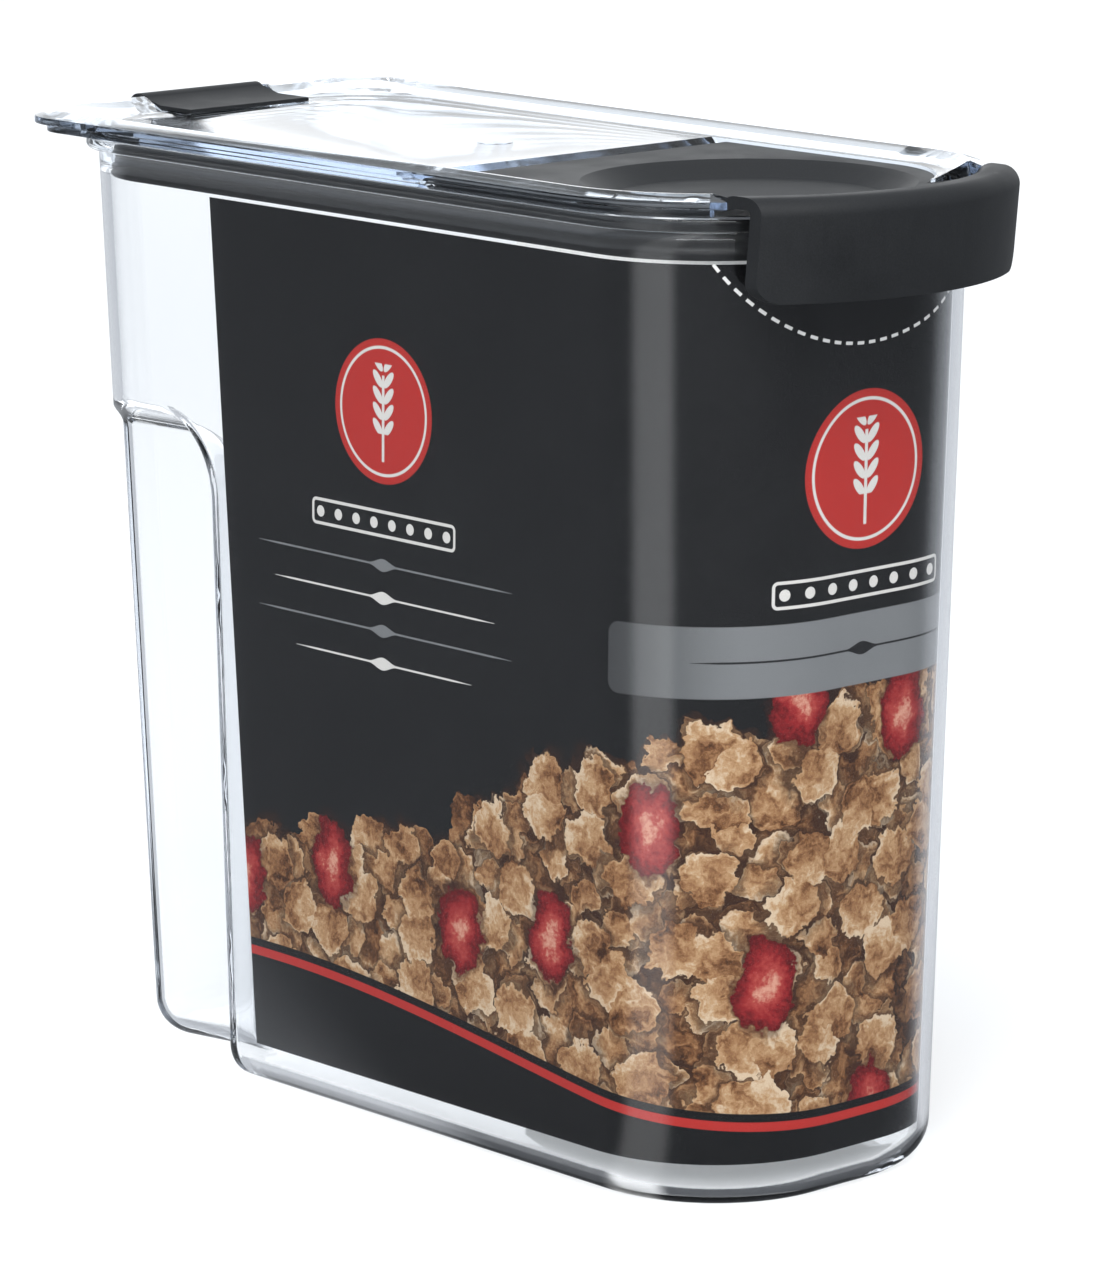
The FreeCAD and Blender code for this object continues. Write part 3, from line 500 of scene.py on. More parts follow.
# The print, in centimetres: across from the middle of the front, up from the foot of the tub
printLook = {"charcoal": (0.0055, 0.0057, 0.0062, 1.0), "charcoalLight": (0.0092, 0.0094, 0.01, 1.0),
             "red": (0.35, 0.02, 0.016, 1.0), "pale": (0.54, 0.525, 0.5, 1.0),
             "grey": (0.15, 0.155, 0.16, 1.0),
             "groundNoise": (0.35, 2.0, 0.5), "wobbleNoise": (1.5, 3.0, 0.6), "wobble": 0.85,
             "wrinkleNoise": (2.6, 5.0, 0.62), "crumbNoise": (9.0, 4.0, 0.7),
             "screenNoise": (55.0, 2.0, 0.6), "screen": 0.14,
             "screenTones": [(0.3, (0.25,) * 3), (0.7, (0.75,) * 3)],
             "glossSpan": (0.3, 0.7), "gloss": 0.2, "dull": 0.3, "specular": 0.28,
             "paperNoise": (1500.0, 2.0), "paperBump": (0.02, 0.00002)}

# the heap's top is a slow bell; flakes lie under it in four layers, the lowest first
heapLook = {"middle": 9.6, "fall": 2.6, "swell": 0.17, "filledDrop": 0.9, "filled": (0.06, 0.024, 0.01, 1.0),
            "layers": [{"scale": 0.78, "shift": (3.1, 7.7, 0.0), "size": 0.62, "drop": 0.5, "tone": 0.22},
                       {"scale": 0.7, "shift": (11.3, 2.9, 0.0), "size": 0.5, "drop": 0.35, "tone": 0.32},
                       {"scale": 0.92, "shift": (17.7, 9.3, 0.0), "size": 0.42, "drop": 0.4, "tone": 0.34},
                       {"scale": 0.62, "shift": (5.9, 15.1, 0.0), "size": 0.42, "drop": 0.2, "tone": 0.4}]}

# spans of a flake's edge, shadow and rim are added to its size
flakeLook = {"fullTurn": 6.283, "ragged": 0.22, "edge": (0.11, 0.09),
             "shadowEdge": (0.36, 0.08), "shadowDepth": 0.8,
             "rimEdge": (-0.04, 0.09), "tilt": 0.42, "vary": 0.26, "wrinkle": 1.25, "crumb": 0.5, "rim": 0.16,
             "shadow": (0.03, 0.012, 0.006, 1.0),
             "toast": [(0.03, (0.038, 0.0135, 0.005)), (0.27, (0.141, 0.059, 0.021)),
                       (0.48, (0.269, 0.137, 0.06)), (0.7, (0.384, 0.235, 0.12)),
                       (0.93, (0.512, 0.389, 0.264))]}

berryLook = {"squeeze": (1.0, 0.68, 1.0), "stretch": (1.0, 1.47, 1.0), "shift": (21.0, 4.0, 0.0),
             "scale": 0.3, "scatter": 0.9, "leftOut": 0.45, "ragged": 0.07, "edge": (0.262, 0.25),
             "shadowEdge": (0.32, 0.25), "shadowDepth": 0.7, "shadow": (0.03, 0.008, 0.005, 1.0),
             "crumb": 0.8, "roundness": (0.27, 0.03),
             "tones": [(0.0, (0.08, 0.003, 0.004)), (0.35, (0.22, 0.011, 0.013)),
                       (0.7, (0.32, 0.042, 0.034)), (1.0, (0.5, 0.24, 0.17))]}

footLook = {"high": 3.0, "dip": -0.8, "swell": 0.17, "soft": 0.02, "ruleDrop": 0.3, "ruleEdge": (0.12, 0.1)}

# places are across, up and radius; the rest are shares of the radius, apart from soft
sealPrint = {"places": [(0.0, 17.1, 1.85), (-14.2, 17.6, 1.75), (14.2, 17.6, 1.75)], "soft": 0.03,
             "ringOuter": 0.9, "ringInner": 0.86, "pitch": 0.22, "lift": 0.2, "slant": -0.8,
             "grainLong": 0.11, "grainThin": 0.4, "grainEdge": (1.0, 0.85), "earReach": (-0.32, 0.66),
             "stemHalf": (0.03, 0.02), "stemReach": (-0.7, 0.5), "endSoft": 0.02}

# a grey band on the front, rows of beads, and rules that swell to a leaf
bandPrint = {"up": 12.95, "half": (6.4, 0.85), "radius": 0.3, "soft": -0.03,
             "fadeSpan": (6.4, 3.0), "fadeTo": (0.25, 1.0)}
beadPrint = {"places": [(0.0, 14.45), (-14.2, 14.9), (14.2, 14.9)], "half": (2.6, 0.34),
             "pitch": 0.65, "radius": 0.16, "lineInset": 0.05, "lineEdge": (0.045, 0.03),
             "beadEdge": (0.42, 0.38), "clearOfLine": (-0.12, -0.14)}
leafPrint = {"onBand": (4.4, (0.012, 0.012, 0.013, 1.0)), "sides": (-14.2, 14.2),
             "levels": [(13.9, 4.6, "grey"), (13.1, 4.0, "pale"), (12.3, 4.6, "grey"), (11.5, 3.2, "pale")],
             "leafHalf": 0.5, "leafThick": 0.13, "lineThick": 0.018, "taper": 0.8,
             "soft": 0.012, "endSoft": 0.05}

# a tear-off tab under the lip: a dashed arc of small cuts, darker above it
tabPrint = {"centre": (0.0, 25.1, 0.0), "radius": 5.1, "soft": 0.05, "dashes": 14.0, "dashGap": 0.42,
            "cutEdge": (0.045, 0.03), "above": (0.004, 0.004, 0.0045, 1.0), "cut": (0.7, 0.69, 0.67, 1.0)}


def cardPath(z, inset, t, c):
    # the card's line at one height: from the near rear edge, round the front, to the far rear edge
    share = (t["height"] - z) / t["height"]
    half = t["half"] - t["sideLean"] * share - inset
    front = t["front"] - t["frontLean"] * share - inset
    radius = t["frontRadius"] - inset
    lean = c["rearLow"] + (c["rearHigh"] - c["rearLow"]) * (z - c["low"]) / (c["high"] - c["low"])
    x1, y1 = front - radius, half - radius
    straight, bend, nose = x1 + lean, radius * np.pi / 2, 2 * y1
    total = 2 * straight + 2 * bend + nose
    s = np.linspace(0.0, total, c["cols"])
    a = np.clip((s - straight) / radius, 0.0, np.pi / 2)
    b = np.clip((s - straight - bend - nose) / radius, 0.0, np.pi / 2)
    farRun = np.maximum(s - straight - 2 * bend - nose, 0.0)
    x = -lean + np.minimum(s, straight) + radius * np.sin(a) - radius * (1 - np.cos(b)) - farRun
    y = -half + radius * (1 - np.cos(a)) + np.clip(s - straight - bend, 0.0, nose) + radius * np.sin(b)
    return np.stack([x, y, np.full_like(x, z)], axis=-1), s - total / 2


def swing(tree, value, gain, level):
    # a noise's swing about its middle, times a gain, on top of a level
    return math2(tree, "MULTIPLY_ADD", math2(tree, "SUBTRACT", value, 0.5), gain, level)


def bell(tree, x, swell, gain, level):
    # a slow cosine of the way across
    return math2(tree, "MULTIPLY_ADD", math2(tree, "COSINE", product(tree, x, swell)), gain, level)


def heapLine(tree, x, heap):
    return bell(tree, x, heap["swell"], heap["fall"], heap["middle"])


def widened(size, span):
    return [size + end for end in span]


def fromSpot(tree, place, x, y):
    return vector2(tree, "SUBTRACT", place, (x, y, 0.0))


def repeated(tree, value, pitch):
    # the way from the middle of the pitch that a value falls in
    share = math2(tree, "FRACT", math2(tree, "DIVIDE", value, pitch))
    return product(tree, math2(tree, "SUBTRACT", share, 0.5), pitch)


def rootOfSquares(tree, a, b):
    return math2(tree, "SQRT", math2(tree, "ADD", product(tree, a, a), product(tree, b, b)))


def flakeLayer(ink, colour, layer, f, heap):
    # thin toasted flakes: a wobbly disc in each cell, tilted its own way, over a soft shadow
    tree, size = ink["tree"], layer["size"]
    flake = cells(tree, vector2(tree, "ADD", ink["shaken"], layer["shift"]), layer["scale"])
    centre = vector2(tree, "SUBTRACT", flake.outputs["Position"], layer["shift"])
    x, y = parts(tree, centre)[:2]
    chance = chances(tree, flake.outputs["Color"])
    below = math2(tree, "LESS_THAN", math2(tree, "ADD", y, layer["drop"]), heapLine(tree, x, heap))
    angle = product(tree, chance[0], f["fullTurn"])
    lean = tree.nodes.new("ShaderNodeCombineXYZ")
    put(tree, math2(tree, "COSINE", angle), lean.inputs[0])
    put(tree, math2(tree, "SINE", angle), lean.inputs[1])
    tilt = vector2(tree, "DOT_PRODUCT", vector2(tree, "SUBTRACT", ink["shaken"], centre), lean.outputs[0])
    away = math2(tree, "MULTIPLY_ADD", ink["wrinkle"], f["ragged"], flake.outputs["Distance"])
    inside = product(tree, fade(tree, away, *widened(size, f["edge"])), below)
    shadow = product(tree, fade(tree, away, *widened(size, f["shadowEdge"]), 0.0, f["shadowDepth"]), below)
    rim = fade(tree, away, *widened(size, f["rimEdge"]))
    light = math2(tree, "MULTIPLY_ADD", chance[1], f["vary"], layer["tone"])
    light = math2(tree, "MULTIPLY_ADD", tilt, f["tilt"], light)
    light = swing(tree, ink["wrinkle"], f["wrinkle"], light)
    light = swing(tree, ink["crumb"], f["crumb"], light)
    light = math2(tree, "MULTIPLY_ADD", rim, f["rim"], light)
    colour = blendColour(tree, shadow, colour, f["shadow"])
    return blendColour(tree, inside, colour, ramp(tree, light, f["toast"]))


def addBerries(ink, colour, b, heap):
    # dried berries lying among the flakes, in some cells only
    tree = ink["tree"]
    squeezed = vector2(tree, "MULTIPLY", ink["shaken"], b["squeeze"])
    berry = cells(tree, vector2(tree, "ADD", squeezed, b["shift"]), b["scale"], b["scatter"])
    centre = vector2(tree, "SUBTRACT", berry.outputs["Position"], b["shift"])
    x, y = parts(tree, vector2(tree, "MULTIPLY", centre, b["stretch"]))[:2]
    chosen = math2(tree, "GREATER_THAN", chances(tree, berry.outputs["Color"])[0], b["leftOut"])
    shown = product(tree, chosen, math2(tree, "LESS_THAN", y, heapLine(tree, x, heap)))
    away = math2(tree, "MULTIPLY_ADD", ink["wrinkle"], b["ragged"], berry.outputs["Distance"])
    mask = product(tree, shown, fade(tree, away, *b["edge"]))
    shadow = product(tree, shown, fade(tree, away, *b["shadowEdge"], 0.0, b["shadowDepth"]))
    light = swing(tree, ink["crumb"], b["crumb"], fade(tree, away, *b["roundness"]))
    colour = blendColour(tree, shadow, colour, b["shadow"])
    return blendColour(tree, mask, colour, ramp(tree, light, b["tones"]))


def addFoot(ink, colour, f, look):
    # dark foot under the heap, with a red rule just below its top
    tree, up = ink["tree"], ink["up"]
    line = bell(tree, ink["across"], f["swell"], f["dip"], f["high"])
    foot = fade(tree, up, math2(tree, "ADD", line, f["soft"]), line)
    colour = blendColour(tree, foot, colour, look["charcoal"])
    ruleLine = math2(tree, "SUBTRACT", line, f["ruleDrop"])
    ruleAway = math2(tree, "ABSOLUTE", math2(tree, "SUBTRACT", up, ruleLine))
    return blendColour(tree, fade(tree, ruleAway, *f["ruleEdge"]), colour, look["red"])


def addSeal(ink, colour, spot, s, look):
    # a round red seal with a pale ring and an ear of grain
    tree = ink["tree"]
    x, y, size = spot
    offset = fromSpot(tree, ink["place"], x, y)
    away = vector2(tree, "LENGTH", offset)
    disc = fade(tree, away, size, size - s["soft"])
    outer, inner = size * s["ringOuter"], size * s["ringInner"]
    ring = fade(tree, away, outer, outer - s["soft"])
    ring = product(tree, ring, fade(tree, away, inner - s["soft"], inner))
    colour = blendColour(tree, disc, colour, look["red"])
    colour = blendColour(tree, ring, colour, look["pale"])
    sideways, upwards = parts(tree, offset)[:2]
    side = math2(tree, "ABSOLUTE", sideways)
    pitch, soft = size * s["pitch"], size * s["endSoft"]
    lifted = math2(tree, "ADD", upwards, size * s["lift"])
    folded = repeated(tree, math2(tree, "MULTIPLY_ADD", side, s["slant"], lifted), pitch)
    grainLong = size * s["grainLong"]
    long = math2(tree, "DIVIDE", math2(tree, "SUBTRACT", side, grainLong), grainLong)
    thin = math2(tree, "DIVIDE", folded, pitch * s["grainThin"])
    earReach = between(tree, upwards, *(size * end for end in s["earReach"]), soft)
    ear = product(tree, fade(tree, rootOfSquares(tree, long, thin), *s["grainEdge"]), earReach)
    stemReach = between(tree, upwards, *(size * end for end in s["stemReach"]), soft)
    stem = product(tree, fade(tree, side, *(size * end for end in s["stemHalf"])), stemReach)
    return blendColour(tree, math2(tree, "MAXIMUM", ear, stem), colour, look["pale"])


def boxAway(ink, x, y, half, radius):
    # distance from the edge of a box with round corners, negative inside
    tree = ink["tree"]
    offset = vector2(tree, "ABSOLUTE", fromSpot(tree, ink["place"], x, y))
    square = vector2(tree, "SUBTRACT", offset, (half[0] - radius, half[1] - radius, 0.0))
    beyond = vector2(tree, "MAXIMUM", square, (0.0, 0.0, 0.0))
    return math2(tree, "SUBTRACT", vector2(tree, "LENGTH", beyond), radius)


def addBand(ink, colour, b, look):
    tree = ink["tree"]
    band = fade(tree, boxAway(ink, 0.0, b["up"], b["half"], b["radius"]), 0.0, b["soft"])
    fadeOut = fade(tree, math2(tree, "ABSOLUTE", ink["across"]), *b["fadeSpan"], *b["fadeTo"])
    return blendColour(tree, product(tree, band, fadeOut), colour, look["grey"])


def addBeads(ink, colour, spot, b, tint):
    # a row of round beads in a box with a thin outline
    tree = ink["tree"]
    edge = boxAway(ink, *spot, b["half"], b["radius"])
    outline = fade(tree, math2(tree, "ABSOLUTE", math2(tree, "ADD", edge, b["lineInset"])), *b["lineEdge"])
    x, y = parts(tree, fromSpot(tree, ink["place"], *spot))[:2]
    reach = rootOfSquares(tree, repeated(tree, x, b["pitch"]), y)
    bead = fade(tree, reach, *(b["half"][1] * end for end in b["beadEdge"]))
    bead = product(tree, bead, fade(tree, edge, *b["clearOfLine"]))
    return blendColour(tree, math2(tree, "MAXIMUM", outline, bead), colour, tint)


def addLeaf(ink, colour, spot, half, l, tint):
    # a fine rule that swells to a leaf in the middle
    tree = ink["tree"]
    x, y = parts(tree, fromSpot(tree, ink["place"], *spot))[:2]
    away, high = math2(tree, "ABSOLUTE", x), math2(tree, "ABSOLUTE", y)
    leaf = fade(tree, away, l["leafHalf"], 0.0, 0.0, l["leafThick"])
    thick = math2(tree, "ADD", leaf, fade(tree, away, half, half - l["taper"], 0.0, l["lineThick"]))
    line = fade(tree, math2(tree, "SUBTRACT", high, thick), l["soft"], 0.0)
    ends = fade(tree, away, half, half - l["endSoft"])
    return blendColour(tree, product(tree, line, ends), colour, tint)


def addTab(ink, colour, p):
    tree = ink["tree"]
    offset = vector2(tree, "SUBTRACT", ink["place"], p["centre"])
    away = vector2(tree, "LENGTH", offset)
    x, y = parts(tree, offset)[:2]
    dashes = product(tree, math2(tree, "ARCTAN2", x, y), p["dashes"])
    dash = math2(tree, "GREATER_THAN", math2(tree, "FRACT", dashes), p["dashGap"])
    offArc = math2(tree, "ABSOLUTE", math2(tree, "SUBTRACT", away, p["radius"]))
    cutLine = product(tree, fade(tree, offArc, *p["cutEdge"]), dash)
    colour = blendColour(tree, fade(tree, away, p["radius"], p["radius"] - p["soft"]), colour, p["above"])
    return blendColour(tree, cutLine, colour, p["cut"])


def printedFace(name, look, width, height):
    # the printed side: a heap of flakes and berries, seals, a band, beads and rules on charcoal
    material, tree, shader = startMaterial(name)
    sheet = tree.nodes.new("ShaderNodeMapping")
    put(tree, tree.nodes.new("ShaderNodeUVMap").outputs[0], sheet.inputs["Vector"])
    sheet.inputs["Scale"].default_value = (width / cm, height / cm, 1.0)
    sheet.inputs["Location"].default_value = (-width / 2 / cm, cardSizes["low"] / cm, 0.0)
    place = sheet.outputs[0]
    across, up = parts(tree, place)[:2]
    ground = noise(tree, place, *look["groundNoise"], flat=True).outputs[0]
    colour = blendColour(tree, ground, look["charcoal"], look["charcoalLight"])
    wobble = noise(tree, place, *look["wobbleNoise"], flat=True).outputs["Color"]
    wobble = vector2(tree, "SUBTRACT", wobble, (0.5, 0.5, 0.5))
    shaken = vector2(tree, "ADD", place, vector2(tree, "SCALE", wobble, scale=look["wobble"]))
    ink = {"tree": tree, "place": place, "across": across, "up": up, "shaken": shaken,
           "wrinkle": noise(tree, shaken, *look["wrinkleNoise"], flat=True).outputs[0],
           "crumb": noise(tree, place, *look["crumbNoise"], flat=True).outputs[0]}

    heapTop = heapLine(tree, across, heapLook)
    filled = math2(tree, "LESS_THAN", math2(tree, "ADD", up, heapLook["filledDrop"]), heapTop)
    colour = blendColour(tree, filled, colour, heapLook["filled"])
    for layer in heapLook["layers"]:
        colour = flakeLayer(ink, colour, layer, flakeLook, heapLook)
    colour = addBerries(ink, colour, berryLook, heapLook)
    colour = addFoot(ink, colour, footLook, look)
    for spot in sealPrint["places"]:
        colour = addSeal(ink, colour, spot, sealPrint, look)
    colour = addBand(ink, colour, bandPrint, look)
    half, tint = leafPrint["onBand"]
    colour = addLeaf(ink, colour, (0.0, bandPrint["up"]), half, leafPrint, tint)
    for spot in beadPrint["places"]:
        colour = addBeads(ink, colour, spot, beadPrint, look["pale"])
    for side in leafPrint["sides"]:
        for level, half, tint in leafPrint["levels"]:
            colour = addLeaf(ink, colour, (side, level), half, leafPrint, look[tint])
    colour = addTab(ink, colour, tabPrint)

    # printing screen: very fine speckle in tone and gloss
    speckle = noise(tree, place, *look["screenNoise"], flat=True).outputs[0]
    screen = ramp(tree, speckle, look["screenTones"])
    put(tree, blendColour(tree, look["screen"], colour, screen, "OVERLAY"), shader.inputs["Base Color"])
    gloss = fade(tree, speckle, *look["glossSpan"], look["gloss"], look["dull"])
    put(tree, gloss, shader.inputs["Roughness"])
    paper = noise(tree, objectPlace(tree), *look["paperNoise"]).outputs[0]
    put(tree, bumpFrom(tree, paper, *look["paperBump"]), shader.inputs["Normal"])
    shader.inputs["Specular IOR Level"].default_value = look["specular"]
    return material


def buildCard(t, c, printed, board):
    # the outer face, the cut edges and the back, as one closed sheet; the grid's rows climb the card
    heights = np.linspace(c["low"], c["high"], c["rows"])
    inset = t["wall"] + c["gap"]
    faced = [cardPath(z, inset, t, c) for z in heights]
    outer, spread = (np.stack(rows) for rows in zip(*faced))
    inner = np.stack([cardPath(z, inset + c["thick"], t, c)[0] for z in heights])
    rows, cols = outer.shape[:2]
    width = float(np.ptp(spread[-1]))
    u = (spread + width / 2) / width
    v = np.repeat(((heights - c["low"]) / (c["high"] - c["low"]))[:, None], cols, axis=1)
    uv = np.stack([u, v], axis=-1).reshape(-1, 2)
    count = rows * cols
    index = np.arange(count).reshape(rows, cols)
    face = np.stack([index[:-1, :-1], index[:-1, 1:], index[1:, 1:], index[1:, :-1]], axis=-1).reshape(-1, 4)
    rim = np.concatenate([index[0, :-1], index[:-1, -1], index[-1, :0:-1], index[:0:-1, 0]])
    nextRim = np.roll(rim, -1)
    edge = np.stack([rim, rim + count, nextRim + count, nextRim], axis=-1)
    faces = np.concatenate([face, face[:, ::-1] + count, edge])
    points = np.concatenate([outer.reshape(-1, 3), inner.reshape(-1, 3)]) * mm
    mesh = bpy.data.meshes.new("printedCard")
    mesh.from_pydata(points.tolist(), [], faces.tolist())
    layer = mesh.uv_layers.new(name="sheet")
    loops = np.zeros(len(mesh.loops), np.int32)
    mesh.loops.foreach_get("vertex_index", loops)
    layer.data.foreach_set("uv", np.concatenate([uv, uv])[loops].astype(np.float32).ravel())
    kinds = np.ones(len(faces), np.int32)
    kinds[:len(face)] = 0
    piece = addPiece("printedCard", mesh, "tub", [printed, board])
    mesh.polygons.foreach_set("material_index", kinds)
    mesh.shade_smooth()
    mesh.set_sharp_from_angle(angle=math.radians(c["sharpAngle"]))
    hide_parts("label_card")
    return piece


topEdge = cardPath(cardSizes["high"], tubSizes["wall"] + cardSizes["gap"], tubSizes, cardSizes)[1]
cardPrint = printedFace("cardPrint", printLook, float(np.ptp(topEdge)), cardSizes["high"] - cardSizes["low"])
printedCard = buildCard(tubSizes, cardSizes, cardPrint, grainedSolid("cardBack", boardLook))
print("card:", len(printedCard.data.polygons), "faces")


# Lid, door and latch: merged copies of the solids with their edges rounded
# the flange's outline has straight sides, and corners given by a centre and a radius
flangeSizes = {"half": 58.0, "rear": 130.0, "frontCentre": (71.0, 8.0), "frontRadius": 50.0,
               "rearCentre": (-115.0, 43.0), "rearRadius": 15.0, "hair": 0.1}


def onFlangeEdge(spots):
    # within a hair of the flange's outline
    f = flangeSizes
    x, y = spots[:, 0], np.abs(spots[:, 1])
    (frontX, frontY), (rearX, rearY) = f["frontCentre"], f["rearCentre"]
    onFront = np.hypot(x - frontX, y - frontY) > f["frontRadius"] - f["hair"]
    onRear = np.hypot(x - rearX, y - rearY) > f["rearRadius"] - f["hair"]
    onStraight = (y > f["half"] - f["hair"]) | (x < f["hair"] - f["rear"])
    atFront, atRear = (x > frontX) & (y > frontY), (x < rearX) & (y > rearY)
    return np.where(atFront, onFront, np.where(atRear, onRear, onStraight))


lidSettings = {"flatAngle": 0.4, "sharpAngle": 28.0, "edgeRound": 0.8, "edgeShare": 0.4, "edgeSteps": 4,
               "fullRound": onFlangeEdge}
doorSettings = {"flatAngle": 0.4, "sharpAngle": 28.0, "edgeRound": 0.5, "edgeShare": 1.0, "edgeSteps": 3}
latchSettings = {"flatAngle": 0.4, "sharpAngle": 28.0, "edgeRound": 0.35, "edgeShare": 1.0, "edgeSteps": 3}
# the lid is hazier and a little bluer than the tub
lidLook = {**clearLook, "polish": 0.06, "scuff": 0.11, "tint": (0.82, 0.865, 0.915, 1.0), "depthDensity": 6.5}
clearLidPlastic = clearPlastic("clearLidPlastic", lidLook)
satinBlack = charcoalPlastic("satinBlack", charcoalLook)
clearLid = softenedCopy("clearLid", "lid_frame", "lid", clearLidPlastic, lidSettings)
letLightThrough(clearLid)
flipDoor = softenedCopy("flipDoor", "pour_door", "door", satinBlack, doorSettings)
rockerLatch = softenedCopy("rockerLatch", "rear_latch", "latch", satinBlack, latchSettings)
print("lid, door and latch softened")


# Gate mark on the lid's panel: a low round step with a dimple; a ring is a radius and a height on the panel
gateSizes = {"x": -15.0, "top": 233.4, "steps": 72, "leastRadius": 0.01,
             "rings": [(0.0, -0.02), (1.2, -0.02), (1.6, 0.1), (3.6, 0.12),
                       (4.1, 0.1), (4.5, 0.0), (4.5, -0.4), (0.0, -0.4)]}


def buildGateMark(g, material):
    # the rings turned about an upright line
    turn = np.linspace(0.0, 2 * np.pi, g["steps"], endpoint=False)
    reach, lift = np.array(g["rings"]).T[..., None]
    reach = np.maximum(reach, g["leastRadius"])
    points = np.broadcast_arrays(g["x"] + reach * np.cos(turn), reach * np.sin(turn), g["top"] + lift)
    piece = gridPiece("gateMark", np.stack(points, axis=-1), "lid", material)
    letLightThrough(piece)


buildGateMark(gateSizes, clearLidPlastic)


# Lid gasket: a band round the skirt with three soft ribs, outer face a cosine of the height;
# its top is cut back under the door's dish, whose axis is at dishX
gasketSizes = {"low": 221.0, "high": 231.2, "crest": 2.8, "valley": 3.3, "inner": 5.1, "ribs": 3,
               "edge": 0.5, "steps": 42, "sharpAngle": 50.0,
               "dishX": 72.5, "dishRoom": 38.8, "roomLow": 230.3, "roomSlope": 0.591}


def buildGasket(g, t, material):
    climb = np.linspace(0.0, 1.0, g["steps"])
    ends = np.minimum(climb, 1.0 - climb) * (g["high"] - g["low"])
    wave = 0.5 - 0.5 * np.cos(climb * g["ribs"] * 2 * np.pi)
    corner = np.clip(g["edge"] - ends, 0.0, None)
    turned = g["edge"] - np.sqrt(np.clip(g["edge"] ** 2 - corner ** 2, 0.0, None))
    insets = g["valley"] - (g["valley"] - g["crest"]) * wave + turned

    def rise(inset, share):
        # the band's top dips to a cone about the dish's axis, where the door's dish passes over it
        ring = tubLevel(g["low"], t, inset)
        beyond = np.hypot(ring[:, 0] - g["dishX"], ring[:, 1]) - g["dishRoom"]
        top = np.minimum(g["high"], g["roomLow"] + g["roomSlope"] * beyond)
        return g["low"] + share * (top - g["low"])[:, None]

    inner = tubLevel(g["low"], t, g["inner"])
    rows = [level3d(inner, g["low"])]
    for inset, share in zip(insets.tolist(), climb.tolist()):
        rows.append(level3d(tubLevel(g["low"], t, inset), rise(g["valley"] + g["edge"], share)))
    rows += [level3d(inner, rise(g["inner"], 1.0)), rows[0]]
    piece = gridPiece("ribbedGasket", np.stack(rows), "lid", material, capped=False)
    piece.data.set_sharp_from_angle(angle=math.radians(g["sharpAngle"]))
    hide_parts("lid_gasket")


def dress(node, material):
    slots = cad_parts[node].data.materials
    slots.clear()
    slots.append(material)


blackSeal = grainedSolid("blackSeal", sealLook)
buildGasket(gasketSizes, tubSizes, blackSeal)
dress("pour_seal", blackSeal)
whitePin = grainedSolid("whitePin", pinLook)
for node in ("door_pin_near", "door_pin_far"):
    dress(node, whitePin)
print("seals and pins dressed")


# Camera at the photograph's angle: bearing and height in degrees, distances in metres
cameraSettings = {"bearing": 48.071, "height": 11.972, "roll": -0.212, "distance": 1.45077,
                  "middle": (0.005, 0.0, 0.1254), "drop": 0.01024, "lens": 169.858,
                  "sensor": 36.0, "clipEnd": 100.0}


def placeCamera(c):
    a, e, r = (math.radians(c[k]) for k in ("bearing", "height", "roll"))
    back = Vector((math.sin(a) * math.cos(e), -math.cos(a) * math.cos(e), math.sin(e)))
    level = Vector((math.cos(a), math.sin(a), 0.0))
    rise = back.cross(level)
    right = level * math.cos(r) + rise * math.sin(r)
    up = rise * math.cos(r) - level * math.sin(r)
    data = bpy.data.cameras.new("photoCamera")
    data.lens = c["lens"]
    data.sensor_width = c["sensor"]
    data.clip_end = c["clipEnd"]
    camera = bpy.data.objects.new("photoCamera", data)
    spot = Vector(c["middle"]) + back * c["distance"] - up * c["drop"]
    turn = Matrix((right, up, back)).transposed().to_4x4()
    camera.matrix_world = Matrix.Translation(spot) @ turn
    bpy.context.scene.collection.objects.link(camera)
    bpy.context.scene.camera = camera


placeCamera(cameraSettings)


# Studio: pale floor, dim room, soft boxes overhead, in front and behind;
# a wedge of the floor is a bearing, a half width and a soft edge in degrees
studio = {"floor": (0.9, 0.9, 0.9, 1.0), "floorRough": 0.8, "floorSpecular": 0.1,
          "floorHalf": 30.0, "floorLow": -0.0004,
          # floor tones seen only in a first mirror image: painted reflections, dark before the object, paler
          # behind, with a pale strip
          "mirrored": (0.1, 0.104, 0.112, 1.0), "mirroredBehind": (0.42, 0.43, 0.45, 1.0),
          "strip": {"bearing": -86.0, "half": 20.0, "soft": 11.0,
                    "from": (0.075, -0.014, 0.0), "tone": (0.75, 0.75, 0.75, 1.0)},
          "darkSide": {"bearing": -42.0, "half": 120.0, "soft": 12.0},
          "room": (0.9, 0.95, 1.0, 1.0), "roomPower": 0.75, "bounces": 16, "aim": (0.0, 0.0, 0.11),
          "boxes": [
              {"name": "overhead", "bearing": 0.0, "height": 90.0, "away": 2.0,
               "size": (3.2, 3.2), "power": 12.0},
              {"name": "front", "bearing": -42.0, "height": 46.0, "away": 1.9,
               "size": (1.7, 1.3), "power": 38.0},
              {"name": "behind", "bearing": 138.0, "height": 15.0, "away": 2.6,
               "size": (3.4, 1.3), "power": 16.0},
          ]}


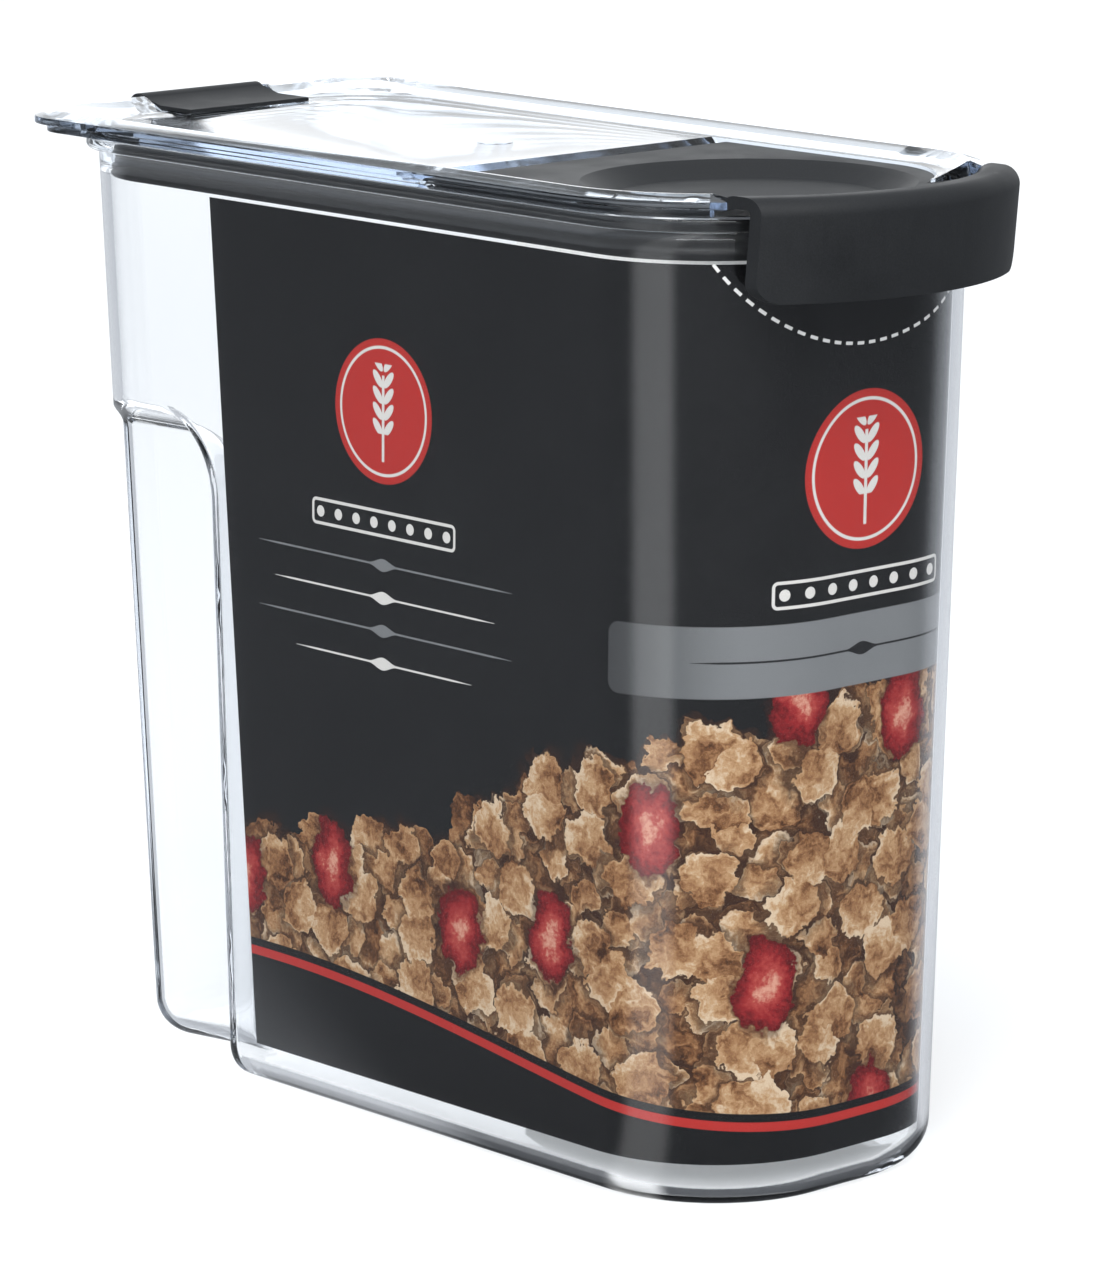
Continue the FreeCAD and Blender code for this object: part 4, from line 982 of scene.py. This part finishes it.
def floorLook(s):
    # painted reflections: in a first mirror image the floor before the object is painted dark, apart from a
    # pale strip off to the left, a painted highlight
    material, tree, shader = startMaterial("paleFloor")
    x, y = parts(tree, vector2(tree, "SUBTRACT", objectPlace(tree), s["strip"]["from"]))[:2]
    bearing = math2(tree, "ARCTAN2", y, x)

    def inWedge(w):
        aside = math2(tree, "ABSOLUTE", math2(tree, "SUBTRACT", bearing, math.radians(w["bearing"])))
        return fade(tree, aside, math.radians(w["half"]), math.radians(w["half"] - w["soft"]))

    # painted reflection tones: the floor as the clear walls mirror it, not as the camera sees it
    paintedReflectionTone = blendColour(tree, inWedge(s["darkSide"]), s["mirroredBehind"], s["mirrored"])
    paintedReflectionTone = blendColour(tree, inWedge(s["strip"]), paintedReflectionTone, s["strip"]["tone"])
    glossyDepth = tree.nodes.new("ShaderNodeLightPath").outputs["Glossy Depth"]
    mirrored = math2(tree, "COMPARE", glossyDepth, 1.0, 0.5)
    put(tree, blendColour(tree, mirrored, s["floor"], paintedReflectionTone), shader.inputs["Base Color"])
    shader.inputs["Roughness"].default_value = s["floorRough"]
    shader.inputs["Specular IOR Level"].default_value = s["floorSpecular"]
    return material


def buildStudio(s):
    corners = np.array([(-1, -1), (1, -1), (1, 1), (-1, 1)]) * s["floorHalf"]
    mesh = bpy.data.meshes.new("floor")
    mesh.from_pydata([(x, y, s["floorLow"]) for x, y in corners.tolist()], [], [(0, 1, 2, 3)])
    mesh.materials.append(floorLook(s))
    floor = bpy.data.objects.new("floor", mesh)
    bpy.context.scene.collection.objects.link(floor)
    world = bpy.data.worlds.new("room")
    world.use_nodes = True
    world.node_tree.nodes["Background"].inputs["Color"].default_value = s["room"]
    world.node_tree.nodes["Background"].inputs["Strength"].default_value = s["roomPower"]
    bpy.context.scene.world = world
    bpy.context.scene.view_settings.view_transform = "Standard"
    # light runs a long way inside a clear edge before it leaves
    path = bpy.context.scene.cycles
    path.max_bounces = path.glossy_bounces = path.transmission_bounces = s["bounces"]
    for b in s["boxes"]:
        light = bpy.data.lights.new(b["name"], "AREA")
        light.shape = "RECTANGLE"
        light.size, light.size_y = b["size"]
        light.energy = b["power"]
        a, e = math.radians(b["bearing"]), math.radians(b["height"])
        towards = Vector((math.cos(a) * math.cos(e), math.sin(a) * math.cos(e), math.sin(e)))
        lamp = bpy.data.objects.new(b["name"], light)
        spot = towards * b["away"] + Vector(s["aim"])
        lamp.matrix_world = Matrix.Translation(spot) @ towards.to_track_quat("Z", "Y").to_matrix().to_4x4()
        bpy.context.scene.collection.objects.link(lamp)


buildStudio(studio)
print("camera and studio placed")
